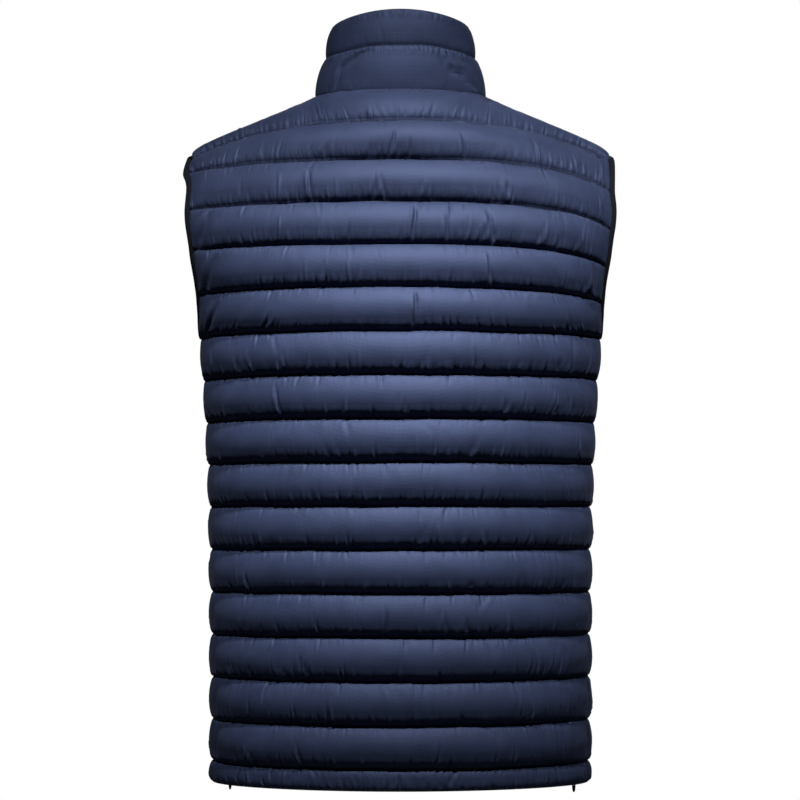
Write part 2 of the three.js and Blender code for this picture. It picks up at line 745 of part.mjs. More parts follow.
function makeTape(side) {
  let [inner, outer] = [zipStations(TAPE_INNER_X), zipStations(TAPE_OUTER_X)];
  if (side < 0) [inner, outer] = [mirrorStations(inner), mirrorStations(outer)];
  return strip(inner, outer, -TAPE_THICKNESS - SEAM_GAP, -SEAM_GAP);
}

function makeChain() {
  const left = zipStations(CHAIN_HALF_WIDTH);
  return strip(left, mirrorStations(left), 0, CHAIN_THICKNESS);
}

// The slider near the top of the collar, and its pull. Both are drawn flat, with X across, Y up the zip
// and Z out from the wall, and then set on the collar.

const wasm = await Module();
wasm.setup();

function solidFrom(geometry) {
  const bare = geometry.index ? geometry.toNonIndexed() : geometry.clone();
  const position = new THREE.BufferGeometry().setAttribute("position", bare.getAttribute("position"));
  const merged = mergeVertices(position, MERGE_DISTANCE);
  const mesh = new wasm.Mesh({
    numProp: 3,
    vertProperties: merged.attributes.position.array,
    triVerts: new Uint32Array(merged.index.array),
  });
  return new wasm.Manifold(mesh);
}

function join(first, second) {
  const mesh = solidFrom(first).add(solidFrom(second)).getMesh();
  const geometry = new THREE.BufferGeometry();
  geometry.setAttribute("position", new THREE.BufferAttribute(mesh.vertProperties, 3));
  geometry.setIndex(new THREE.BufferAttribute(mesh.triVerts, 1));
  geometry.computeVertexNormals();
  return geometry;
}

function sliderPlace() {
  const height = SLIDER.collarHeight;
  const out = collarNormal(1, height).setX(0).normalize();
  const across = new THREE.Vector3(1, 0, 0);
  const up = out.clone().cross(across);
  const place = new THREE.Matrix4().makeBasis(across, up, out);
  return place.setPosition(besideEdge(collarPoint, height, 0));
}

const PLATE_BACK = CHAIN_THICKNESS + SEAM_GAP;
const PLATE_FRONT = PLATE_BACK + SLIDER.thickness;
const PIN_OUT = PLATE_FRONT + (BRIDGE.rise - BRIDGE.bar) / 2;
const PIN_UP = -BRIDGE.height / 2 + BRIDGE.bar + PIN.radius + PIN.clearance;

function extruded(shape, depth) {
  return new THREE.ExtrudeGeometry(shape, { depth, bevelEnabled: false, curveSegments: CURVE_SEGMENTS });
}

function roundedOutline(width, height, corner) {
  const [w, h] = [width / 2, height / 2];
  const shape = new THREE.Shape();
  shape.moveTo(-w + corner, -h);
  shape.lineTo(w - corner, -h);
  shape.absarc(w - corner, -h + corner, corner, -Math.PI / 2, 0, false);
  shape.absarc(w - corner, h - corner, corner, 0, Math.PI / 2, false);
  shape.absarc(-w + corner, h - corner, corner, Math.PI / 2, Math.PI, false);
  shape.absarc(-w + corner, -h + corner, corner, Math.PI, Math.PI * 1.5, false);
  return shape;
}

// The bridge that holds the pull: an arch over the plate, seen from the side and given its width.
function bridgeGeometry() {
  const [half, rise, bar, foot] = [BRIDGE.height / 2, BRIDGE.rise, BRIDGE.bar, SLIDER.thickness / 2];
  const arch = new THREE.Shape();
  arch.moveTo(-half, -foot);
  arch.lineTo(-half, rise - bar);
  arch.lineTo(-half + bar, rise);
  arch.lineTo(half - bar, rise);
  arch.lineTo(half, rise - bar);
  arch.lineTo(half, -foot);
  arch.lineTo(half - bar, -foot);
  arch.lineTo(half - bar, rise - bar);
  arch.lineTo(-half + bar, rise - bar);
  arch.lineTo(-half + bar, -foot);
  const geometry = extruded(arch, BRIDGE.width).translate(0, 0, -BRIDGE.width / 2);
  const sideways = new THREE.Matrix4().makeBasis(
    new THREE.Vector3(0, 1, 0),
    new THREE.Vector3(0, 0, 1),
    new THREE.Vector3(1, 0, 0),
  );
  return geometry.applyMatrix4(sideways).translate(0, 0, PLATE_FRONT);
}

function makeSlider() {
  const outline = roundedOutline(SLIDER.width, SLIDER.height, SLIDER.corner);
  const plate = extruded(outline, SLIDER.thickness).translate(0, 0, PLATE_BACK);
  return join(plate, bridgeGeometry()).applyMatrix4(sliderPlace());
}

// The pull hangs from its pin, which turns inside the bridge. The notch clears the bridge all the way.
function makePull() {
  const [half, notch, corner] = [PULL.width / 2, PULL.notchWidth / 2, PULL.corner];
  const tab = new THREE.Shape();
  tab.moveTo(-half, 0);
  tab.lineTo(-half, -PULL.length + corner);
  tab.absarc(-half + corner, -PULL.length + corner, corner, Math.PI, Math.PI * 1.5, false);
  tab.absarc(half - corner, -PULL.length + corner, corner, -Math.PI / 2, 0, false);
  tab.lineTo(half, 0);
  tab.lineTo(notch, 0);
  tab.lineTo(notch, -PULL.notchLength);
  tab.lineTo(-notch, -PULL.notchLength);
  tab.lineTo(-notch, 0);
  const body = extruded(tab, PULL.thickness).translate(0, 0, -PULL.thickness / 2);
  const pin = new THREE.CylinderGeometry(PIN.radius, PIN.radius, PULL.width, PIN.sides);
  pin.rotateZ(Math.PI / 2);
  return join(body, pin).translate(0, PIN_UP, PIN_OUT).applyMatrix4(sliderPlace());
}

// The free loops of the elastic hem cord

function makeCord({ route, steps }) {
  const path = new THREE.CatmullRomCurve3(route.map((place) => new THREE.Vector3(...place)));
  const round = new THREE.Shape(
    Array.from({ length: CORD_SIDES }, (_, i) => {
      const angle = (2 * Math.PI * i) / CORD_SIDES;
      return new THREE.Vector2(Math.cos(angle), Math.sin(angle)).multiplyScalar(CORD_RADIUS);
    }),
  );
  return new THREE.ExtrudeGeometry(round, { steps, extrudePath: path, bevelEnabled: false });
}

function buildVest() {
  const vest = new THREE.Group();
  const shellCloth = new THREE.MeshStandardMaterial({ color: 0x232b4a, roughness: 0.42, metalness: 0 });
  const bindingCloth = new THREE.MeshStandardMaterial({ color: 0x0a0c12, roughness: 0.7, metalness: 0 });
  const zipTape = new THREE.MeshStandardMaterial({ color: 0x131726, roughness: 0.8, metalness: 0 });
  const zipTeeth = new THREE.MeshStandardMaterial({ color: 0x10131f, roughness: 0.5, metalness: 0 });
  const zipMetal = new THREE.MeshStandardMaterial({ color: 0x16181d, roughness: 0.35, metalness: 0.6 });
  const elastic = new THREE.MeshStandardMaterial({ color: 0x08090d, roughness: 0.75, metalness: 0 });
  const add = (name, geometry, material) => {
    const mesh = new THREE.Mesh(geometry, material);
    mesh.name = name;
    vest.add(mesh);
  };
  add("back", makeBack(), shellCloth);
  add("front_left", makeFront(1), shellCloth);
  add("front_right", makeFront(-1), shellCloth);
  add("collar", makeCollar(), shellCloth);
  add("armhole_binding_left", makeBinding(1), bindingCloth);
  add("armhole_binding_right", makeBinding(-1), bindingCloth);
  add("zip_tape_left", makeTape(1), zipTape);
  add("zip_tape_right", makeTape(-1), zipTape);
  add("zip_chain", makeChain(), zipTeeth);
  add("zip_slider", makeSlider(), zipMetal);
  add("zip_pull", makePull(), zipMetal);
  add("hem_cord_left", makeCord(CORD_LEFT), elastic);
  add("hem_cord_right", makeCord(CORD_RIGHT), elastic);
  return vest;
}

export default buildVest();
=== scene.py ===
"""A light quilted vest with a stand-up collar and a zipped front, filled out as worn and seen from behind.

Everything is in metres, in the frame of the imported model: +Z is up, the front faces -Y and +X is the
wearer's left. A place on a panel is given by its share across the panel and by its quilting line, counted
down from the neck seam.
"""

from __future__ import annotations

import logging
import math
from dataclasses import dataclass, field
from enum import Enum
from functools import cache
from typing import Callable, Sequence

import bpy
import numpy as np
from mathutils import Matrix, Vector


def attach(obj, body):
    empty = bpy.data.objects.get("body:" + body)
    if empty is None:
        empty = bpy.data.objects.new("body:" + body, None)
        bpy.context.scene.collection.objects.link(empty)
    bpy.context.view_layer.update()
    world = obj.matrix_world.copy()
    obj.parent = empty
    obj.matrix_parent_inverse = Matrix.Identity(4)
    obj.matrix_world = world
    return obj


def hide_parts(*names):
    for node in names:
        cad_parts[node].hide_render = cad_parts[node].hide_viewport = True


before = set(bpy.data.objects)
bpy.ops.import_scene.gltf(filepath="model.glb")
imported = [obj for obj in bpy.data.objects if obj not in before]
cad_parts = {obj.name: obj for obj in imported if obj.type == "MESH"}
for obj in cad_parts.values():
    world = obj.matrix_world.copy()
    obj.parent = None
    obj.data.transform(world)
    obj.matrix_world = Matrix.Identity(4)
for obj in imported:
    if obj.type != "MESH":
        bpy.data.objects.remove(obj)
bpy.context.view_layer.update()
LOG = logging.getLogger("vest")
VEST = "vest"
PULL = "pull"
Surface = Callable[[np.ndarray, float], np.ndarray]
Triple = tuple[float, float, float]
NEAR_ZERO = 1e-12


# The shape of the torso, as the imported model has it


@dataclass(frozen=True)
class Section:
    """Half widths and depths of the torso at a quilting line. A higher curve value is less boxy."""

    line: float
    back_width: float
    back: float
    back_curve: float
    front_width: float
    front: float
    front_curve: float


@dataclass(frozen=True)
class Drop:
    """How far a quilting line of the back ends above or below its centre, on each side."""

    line: float
    left: float
    right: float


@dataclass(frozen=True)
class Ring:
    """A ring of the collar: its half width, its depth behind and before the origin, and its heights."""

    half_width: float
    back_y: float
    front_y: float
    back_z: float
    side_z: float
    front_z: float


SECTIONS = (
    Section(2, 0.256, 0.106, 0.90, 0.238, 0.098, 0.75),
    Section(3, 0.252, 0.118, 0.62, 0.244, 0.113, 0.60),
    Section(4, 0.235, 0.128, 0.50, 0.232, 0.122, 0.50),
    Section(5, 0.217, 0.134, 0.46, 0.215, 0.128, 0.46),
    Section(6, 0.204, 0.137, 0.44, 0.204, 0.132, 0.44),
    Section(7, 0.200, 0.138, 0.44, 0.200, 0.133, 0.44),
    Section(8, 0.197, 0.138, 0.44, 0.197, 0.132, 0.44),
    Section(10, 0.193, 0.136, 0.44, 0.193, 0.130, 0.44),
    Section(13, 0.191, 0.1355, 0.44, 0.191, 0.129, 0.44),
    Section(17, 0.190, 0.137, 0.44, 0.190, 0.130, 0.44),
)
DROPS = (
    Drop(1, -0.031, -0.033),
    Drop(2, -0.005, -0.024),
    Drop(3, -0.001, -0.021),
    Drop(4, 0.001, -0.015),
    Drop(5, -0.001, -0.008),
    Drop(6, 0.0, 0.0),
    Drop(17, 0.0, 0.0),
)
RINGS = (
    Ring(0.086, 0.060, -0.088, 0.0, 0.0, -0.058),
    Ring(0.075, 0.058, -0.077, 0.047, 0.040, -0.008),
    Ring(0.067, 0.056, -0.068, 0.084, 0.074, 0.033),
)


def table_value(rows: Sequence[object], name: str, line: float) -> float:
    """Reads a column of a table on a smooth curve through its rows.

    Args:
        rows: The table, in the order of its lines.
        name: The column.
        line: The quilting line, whole or between two.

    Returns:
        The column's value there.
    """
    last = len(rows) - 1
    at = min(max(line, rows[0].line), rows[last].line)
    i = 0
    while i < last - 1 and rows[i + 1].line < at:
        i += 1

    def slope(k: int) -> float:
        """The column's slope at a row."""
        before, after = rows[max(k - 1, 0)], rows[min(k + 1, last)]
        return (getattr(after, name) - getattr(before, name)) / (after.line - before.line)

    span = rows[i + 1].line - rows[i].line
    t = (at - rows[i].line) / span
    start = getattr(rows[i], name)
    rise = getattr(rows[i + 1], name) - start
    bend = t * (1 - t) ** 2 * slope(i) * span - t * t * (1 - t) * slope(i + 1) * span
    return start + rise * t * t * (3 - 2 * t) + bend


def through_rows(rows: Sequence[np.ndarray], share: float) -> np.ndarray:
    """Reads points on centripetal curves through rows of points.

    Args:
        rows: Arrays of points, one point for each column.
        share: From 0 at the first row to 1 at the last.

    Returns:
        One point for each column.
    """
    least_square = 1e-10
    last = len(rows) - 1
    at = min(max(share, 0.0), 1.0) * last
    i = min(int(at), last - 1)
    t = at - i
    first, second = rows[i], rows[i + 1]
    before = rows[i - 1] if i > 0 else 2 * first - second
    after = rows[i + 2] if i + 2 <= last else 2 * second - first

    def gap(a: np.ndarray, b: np.ndarray) -> np.ndarray:
        """The square root of the distance between points, which spaces the curve."""
        return np.maximum(np.sum((b - a) ** 2, axis=1, keepdims=True), least_square) ** 0.25

    g0, g1, g2 = gap(before, first), gap(first, second), gap(second, after)
    t1 = ((first - before) / g0 - (second - before) / (g0 + g1) + (second - first) / g1) * g1
    t2 = ((second - first) / g1 - (after - first) / (g1 + g2) + (after - second) / g2) * g1
    c2 = -3 * first + 3 * second - 2 * t1 - t2
    c3 = 2 * first - 2 * second + t1 + t2
    return first + t1 * t + c2 * t * t + c3 * t**3


@cache
def section_table() -> tuple[np.ndarray, dict[str, np.ndarray]]:
    """The torso's sizes at many lines, worked out once."""
    steps = 151
    lines = np.linspace(SECTIONS[0].line, SECTIONS[-1].line, steps)
    names = ("back_width", "back", "back_curve", "front_width", "front", "front_curve")
    return lines, {name: np.array([table_value(SECTIONS, name, float(k)) for k in lines]) for name in names}


@dataclass(frozen=True)
class Torso:
    """The pressed wall of the vest, before any padding: where each place of each panel lies."""

    fixed_lines: tuple[float, ...] = (0.0, -0.036, -0.077, -0.1205)
    pitch: float = 0.0433
    last_line: int = 16
    hem_line: int = 17
    hem_z: float = -0.704
    hem_band: float = 0.0215
    neck_centre_y: float = 0.004
    neck_drop_power: float = 1.5
    shoulder: tuple[float, float, float] = (0.214, -0.003, -0.061)
    line_one_end: tuple[float, float] = (0.214, -0.067)
    armhole_bottom: int = 6
    armhole_reach: float = 0.053
    armhole_front_extra: float = 0.002
    underarm_y: float = 0.004
    seam_drift: float = 0.030
    seam_drift_power: float = 0.8
    drop_power: float = 3.0
    line_one_power: float = 3.6
    line_one_inset: float = 0.014
    chest_forward: float = 0.009
    chest_least: float = 0.002
    chest_up: float = 0.005
    chest_start: float = 0.12
    chest_spread: float = 1.15
    chest_edge_inset: float = 0.003
    chest_edge_power: float = 6.0
    back_neck_share: float = 6 / 14
    front_shoulder_share: float = 8 / 15
    zip_half_width: float = 0.006
    on_neck_below: float = 1e-6

    def line_height(self, line: float) -> float:
        """The height of a quilting line at the centre back.

        Args:
            line: The line, whole or between two.

        Returns:
            Its height.
        """

        def at(whole: int) -> float:
            """The height of a whole line."""
            if whole < len(self.fixed_lines):
                return self.fixed_lines[whole]
            if whole == self.last_line:
                return self.hem_z + self.hem_band
            if whole == self.hem_line:
                return self.hem_z
            return self.fixed_lines[3] - self.pitch * (whole - 3)

        lower = min(int(line), self.hem_line - 1)
        return at(lower) + (at(lower + 1) - at(lower)) * (line - lower)

    def armhole_y(self, z: float, side: int) -> float:
        """Where the armhole's edge lies at a height: side is 1 behind and -1 in front.

        Args:
            z: The height.
            side: 1 behind and -1 in front.

        Returns:
            The depth.
        """
        bottom = self.line_height(self.armhole_bottom)
        middle, half = (self.shoulder[2] + bottom) / 2, (self.shoulder[2] - bottom) / 2
        t = min(max((z - middle) / half, -1.0), 1.0)
        centre = self.underarm_y + (self.shoulder[1] - self.underarm_y) * (t + 1) / 2
        reach = self.armhole_reach + (self.armhole_front_extra if side < 0 else 0.0)
        return centre + side * reach * math.sqrt(1 - t * t)

    def seam_y(self, line: float) -> float:
        """Where the side seam lies, front to back."""
        down = (line - self.armhole_bottom) / (self.hem_line - self.armhole_bottom)
        return self.underarm_y + self.seam_drift * min(max(down, 0.0), 1.0) ** self.seam_drift_power

    @staticmethod
    def section(line: float | np.ndarray) -> Section:
        """The torso's sizes at any line, or at many lines, where each size is an array."""
        known, sizes = section_table()
        return Section(line, **{name: np.interp(line, known, values) for name, values in sizes.items()})

    @staticmethod
    def angle_at(section: Section, y: float) -> float:
        """The angle round a section, from 0 at the centre back to pi in front, that has this depth.

        Args:
            section: The torso's sizes there.
            y: The depth.

        Returns:
            The angle.
        """
        behind = y >= 0
        depth = section.back if behind else section.front
        curve = section.back_curve if behind else section.front_curve
        share = math.acos((abs(y) / depth) ** (1 / curve)) / (math.pi / 2)
        angle = math.asin(min(share, 1.0))
        return angle if behind else math.pi - angle

    @staticmethod
    def section_points(section: Section, angle: np.ndarray, z: np.ndarray) -> np.ndarray:
        """Points round a section at some angles and heights.

        Args:
            section: The torso's sizes.
            angle: The angles.
            z: The heights.

        Returns:
            One point for each angle.
        """
        behind = angle < math.pi / 2
        share = np.sin(angle)
        width = np.where(behind, section.back_width, section.front_width)
        depth = np.where(behind, section.back, -section.front)
        curve = np.where(behind, section.back_curve, section.front_curve)
        inward = np.maximum(np.cos(math.pi / 2 * share), 0.0)
        return np.stack([width * share, depth * inward**curve, z], axis=1)

    def ring_points(self, ring: Ring, angle: np.ndarray) -> np.ndarray:
        """Points of a collar ring. The angle is 0 at the centre back and pi in front.

        Args:
            ring: The ring.
            angle: The angles.

        Returns:
            One point for each angle.
        """
        forward = -np.cos(angle)
        behind = forward < 0
        reach = np.where(behind, ring.back_y - self.neck_centre_y, self.neck_centre_y - ring.front_y)
        rise = np.where(behind, forward * forward, np.maximum(forward, 0) ** self.neck_drop_power)
        end = np.where(behind, ring.back_z, ring.front_z)
        z = ring.side_z + (end - ring.side_z) * rise
        return np.stack([ring.half_width * np.sin(angle), self.neck_centre_y - reach * forward, z], axis=1)

    def front_angle(self, ring: Ring) -> float:
        """The angle of a ring's front end, beside the zip."""
        return math.pi - math.asin(self.zip_half_width / ring.half_width)

    def top_edge(self, neck_angle: np.ndarray, shoulder_share: np.ndarray) -> np.ndarray:
        """The top edge of a half panel: along the neck seam, then down the shoulder seam.

        Args:
            neck_angle: Angles round the neck.
            shoulder_share: Shares down the shoulder.

        Returns:
            The points.
        """
        neck = self.ring_points(RINGS[0], neck_angle)
        point = self.ring_points(RINGS[0], np.array([math.pi / 2]))[0]
        share = np.clip(shoulder_share, 0, 1)[:, None]
        shoulder = point + (np.array(self.shoulder) - point) * share
        return np.where(shoulder_share[:, None] < self.on_neck_below, neck, shoulder)

    def back_half(self, u: np.ndarray, line: float, side: int) -> np.ndarray:
        """Points of one half of the back, with u from 0 at the centre to 1 at its edge.

        Args:
            u: Places from the centre, 0, to the edge, 1.
            line: The quilting line.
            side: 1 on the left and -1 on the right.

        Returns:
            The points.
        """
        if line < 2:
            share = self.back_neck_share
            top = self.top_edge(np.minimum(u / share, 1) * math.pi / 2, (u - share) / (1 - share))
            edge_y = self.armhole_y(self.line_one_end[1], 1)
            depth = self.section(2).back - self.line_one_inset
            y = edge_y + (depth - edge_y) * np.cos(math.pi / 2 * u) ** 2
            drop = table_value(DROPS, "left" if side > 0 else "right", 1)
            z = self.fixed_lines[1] + drop * u**self.line_one_power
            one = np.stack([self.line_one_end[0] * u, y, z], axis=1)
            rows = [top, one, self.back_half(u, 2, side), self.back_half(u, 3, side)]
            return through_rows(rows, line / 3)
        drop = table_value(DROPS, "left" if side > 0 else "right", line)
        z = self.line_height(line)
        edge_y = self.armhole_y(z + drop, 1) if line < self.armhole_bottom else self.seam_y(line)
        edge_angle = self.angle_at(self.section(line - drop / self.pitch), edge_y)
        fall = drop * u**self.drop_power
        return self.section_points(self.section(line - fall / self.pitch), u * edge_angle, z + fall)

    def back(self, u: np.ndarray, line: float) -> np.ndarray:
        """Points of the back, with u from -1 at the wearer's right to 1 at the left.

        Args:
            u: Places across the back.
            line: The quilting line.

        Returns:
            The points.
        """
        left, right = self.back_half(np.abs(u), line, 1), self.back_half(np.abs(u), line, -1)
        right[:, 0] *= -1
        return np.where(u[:, None] < 0, right, left)

    def front_row(self, w: np.ndarray, line: float) -> np.ndarray:
        """Points of the left front from line 2 down.

        Args:
            w: Places from the outer edge, 0, to the zip, 1.
            line: The quilting line.

        Returns:
            The points.
        """
        section = self.section(line)
        z = self.line_height(line)
        edge_y = self.armhole_y(z, -1) if line < self.armhole_bottom else self.seam_y(line)
        last = math.pi - math.asin(self.zip_half_width / section.front_width)
        first = self.angle_at(section, edge_y)
        return self.section_points(section, first + (last - first) * w, np.full_like(w, z))

    def front_top(self, w: np.ndarray) -> np.ndarray:
        """The top edge of the left front, from the shoulder tip to the zip.

        Args:
            w: Places from the outer edge, 0, to the zip, 1.

        Returns:
            The points.
        """
        share = self.front_shoulder_share
        on_neck = np.maximum(w - share, 0) / (1 - share)
        angle = math.pi / 2 + (self.front_angle(RINGS[0]) - math.pi / 2) * on_neck
        return self.top_edge(angle, 1 - w / share)

    def front_one(self, w: np.ndarray) -> np.ndarray:
        """The left front's row at line 1, midway from its top edge to line 2.

        Args:
            w: Places from the outer edge, 0, to the zip, 1.

        Returns:
            The points.
        """

        def middle(at: np.ndarray) -> np.ndarray:
            """The row before its outer end is set on the armhole."""
            rounding = np.sin(math.pi * np.minimum(self.chest_spread * at + self.chest_start, 1))
            point = (self.front_top(at) + self.front_row(at, 2)) / 2
            point[:, 1] -= self.chest_forward * rounding + self.chest_least
            point[:, 2] += self.chest_up * rounding
            return point

        x, z = self.line_one_end
        edge = np.array([x - self.chest_edge_inset, self.armhole_y(z, -1), z])
        shift = (edge - middle(np.zeros(1))[0]) * ((1 - w) ** self.chest_edge_power)[:, None]
        return middle(w) + shift

    def front(self, w: np.ndarray, line: float) -> np.ndarray:
        """Points of the left front, with w from 0 at its outer edge to 1 at the zip.

        Args:
            w: Places across the front.
            line: The quilting line.

        Returns:
            The points.
        """
        if line >= 2:
            return self.front_row(w, line)
        rows = [self.front_top(w), self.front_one(w), self.front_row(w, 2), self.front_row(w, 3)]
        return through_rows(rows, line / 3)

    def collar_ring(self, height: float) -> Ring:
        """The ring at a height: 0 at the neck seam, 1 at the stitched line and 2 on top."""
        base, stitch, top = RINGS
        values = []
        for name in ("half_width", "back_y", "front_y", "back_z", "side_z", "front_z"):
            a, b, c = getattr(base, name), getattr(stitch, name), getattr(top, name)
            values.append(a + (2 * b - 1.5 * a - 0.5 * c) * height + ((a + c) / 2 - b) * height**2)
        return Ring(*values)

    def collar(self, around: np.ndarray, height: float) -> np.ndarray:
        """Points of the collar, with around from -1 and 1 at its front ends to 0 at the centre back.

        Args:
            around: Places round the collar.
            height: The height.

        Returns:
            The points.
        """
        ring = self.collar_ring(height)
        points = self.ring_points(ring, np.abs(around) * self.front_angle(ring))
        points[:, 0] *= np.where(around < 0, -1, 1)
        return points


TORSO = Torso()


def side_word(side: int) -> str:
    """The wearer's left or right, in a word."""
    return "left" if side > 0 else "right"


# Noise, creases and meshes


class Noise:
    """Smooth random values along a line, the same on each run."""

    table_size = 4096
    seed_step = 7919

    def __init__(self, seed: int) -> None:
        """Keeps the seed.

        Args:
            seed: Any whole number.
        """
        self.seed = seed

    def along(self, x: np.ndarray, step: float, which: int = 0) -> np.ndarray:
        """Values from -1 to 1 that change over about one step.

        Args:
            x: Places along the line.
            step: The distance between two random values.
            which: Picks one of many lines.

        Returns:
            One value for each place.
        """
        table = np.random.default_rng(self.seed * self.seed_step + which).uniform(-1, 1, self.table_size)
        at = x / step + self.table_size // 2
        whole = np.floor(at).astype(int)
        t = at - whole
        t = t * t * (3 - 2 * t)
        return table[whole % self.table_size] * (1 - t) + table[(whole + 1) % self.table_size] * t


@dataclass(frozen=True)
class Crease:
    """A soft trough in the cloth, or a ridge where its depth is negative, with a lip along one side.

    across and line give its middle, turn its slope from level in degrees, and the sizes are in metres. bow
    is how far it sways from a straight line, as a share of its length. The lip's numbers are shares of its
    depth and of its width.
    """

    across: float
    line: float
    length: float
    turn: float
    depth: float
    width: float
    bow: float = 0.10
    sway: float = 4
    lip: float = 0.45
    lip_place: float = 1.9
    lip_width: float = 1.3
    shown_length: float = 0.75
    shown_widths: float = 3

    def reach(self) -> float:
        """How far from its middle it still shows."""
        return self.shown_length * self.length + self.shown_widths * self.width

    def press(self, x: np.ndarray, y: np.ndarray) -> np.ndarray:
        """Its depth at some places.

        Args:
            x: Their distances from its middle, along the cloth.
            y: Their distances from its middle, down the cloth.

        Returns:
            The depth at each place.
        """
        turn = math.radians(self.turn)
        length = (x * math.cos(turn) - y * math.sin(turn)) / self.length
        sway = self.bow * self.length * np.sin(length * self.sway)
        across = (x * math.sin(turn) + y * math.cos(turn) + sway) / self.width
        lip = self.lip * np.exp(-(((across - self.lip_place) / self.lip_width) ** 2))
        return self.depth * np.exp(-((2 * length) ** 4)) * (np.exp(-(across**2)) - lip)


def normals_of(points: np.ndarray) -> np.ndarray:
    """Unit directions out of a grid of points, in the order rows, columns, axes."""
    down, across = np.gradient(points, axis=0), np.gradient(points, axis=1)
    normal = np.cross(across, down)
    return unit(normal)


def unit(vectors: np.ndarray) -> np.ndarray:
    """Vectors brought to length 1."""
    return vectors / np.maximum(np.linalg.norm(vectors, axis=-1, keepdims=True), NEAR_ZERO)


def run_of(path: np.ndarray) -> np.ndarray:
    """The distance along a path at each of its points."""
    return np.concatenate([[0.0], np.cumsum(np.linalg.norm(np.diff(path, axis=0), axis=1))])


def along_route(route: Sequence[Triple], count: int) -> np.ndarray:
    """Points of a smooth curve through a route's places."""
    rows = [np.array([place]) for place in route]
    return np.concatenate([through_rows(rows, float(share)) for share in np.linspace(0, 1, count)])


def frames_along(path: np.ndarray, first: Triple = (0.3, 0.2, 0.9)) -> tuple[np.ndarray, np.ndarray]:
    """Two directions square to a path, which turn with it as little as they can.

    Args:
        path: The path's points.
        first: Where the second direction points at the start, as nearly as it can.

    Returns:
        The two directions at each point.
    """
    tangent = unit(np.gradient(path, axis=0))
    out = np.array(first)
    outs = []
    for way in tangent:
        out = unit(out - way * float(out @ way))
        outs.append(out)
    return np.cross(tangent, np.array(outs)), np.array(outs)


def rounded(corners: Sequence[Triple], steps: int = 6) -> np.ndarray:
    """A closed outline with rounded corners.

    Args:
        corners: Each corner's place, and how far from it the rounding starts.
        steps: The points on each rounded corner.

    Returns:
        The outline's points.
    """
    places = np.array([corner[:2] for corner in corners])
    points = []
    for i, (x, y, reach) in enumerate(corners):
        place = np.array([x, y])
        before = place + unit(places[i - 1] - place) * reach
        after = place + unit(places[(i + 1) % len(places)] - place) * reach
        for t in np.linspace(0, 1, steps):
            points.append(before * (1 - t) ** 2 + place * 2 * t * (1 - t) + after * t * t)
    return np.array(points)


@dataclass(frozen=True)
class Place:
    """A place with its own axes, on which flat outlines are drawn."""

    origin: np.ndarray
    x: np.ndarray
    y: np.ndarray
    z: np.ndarray

    def put(self, points: np.ndarray) -> np.ndarray:
        """Points brought from these axes into the vest's own."""
        return self.origin + points[..., :1] * self.x + points[..., 1:2] * self.y + points[..., 2:] * self.z


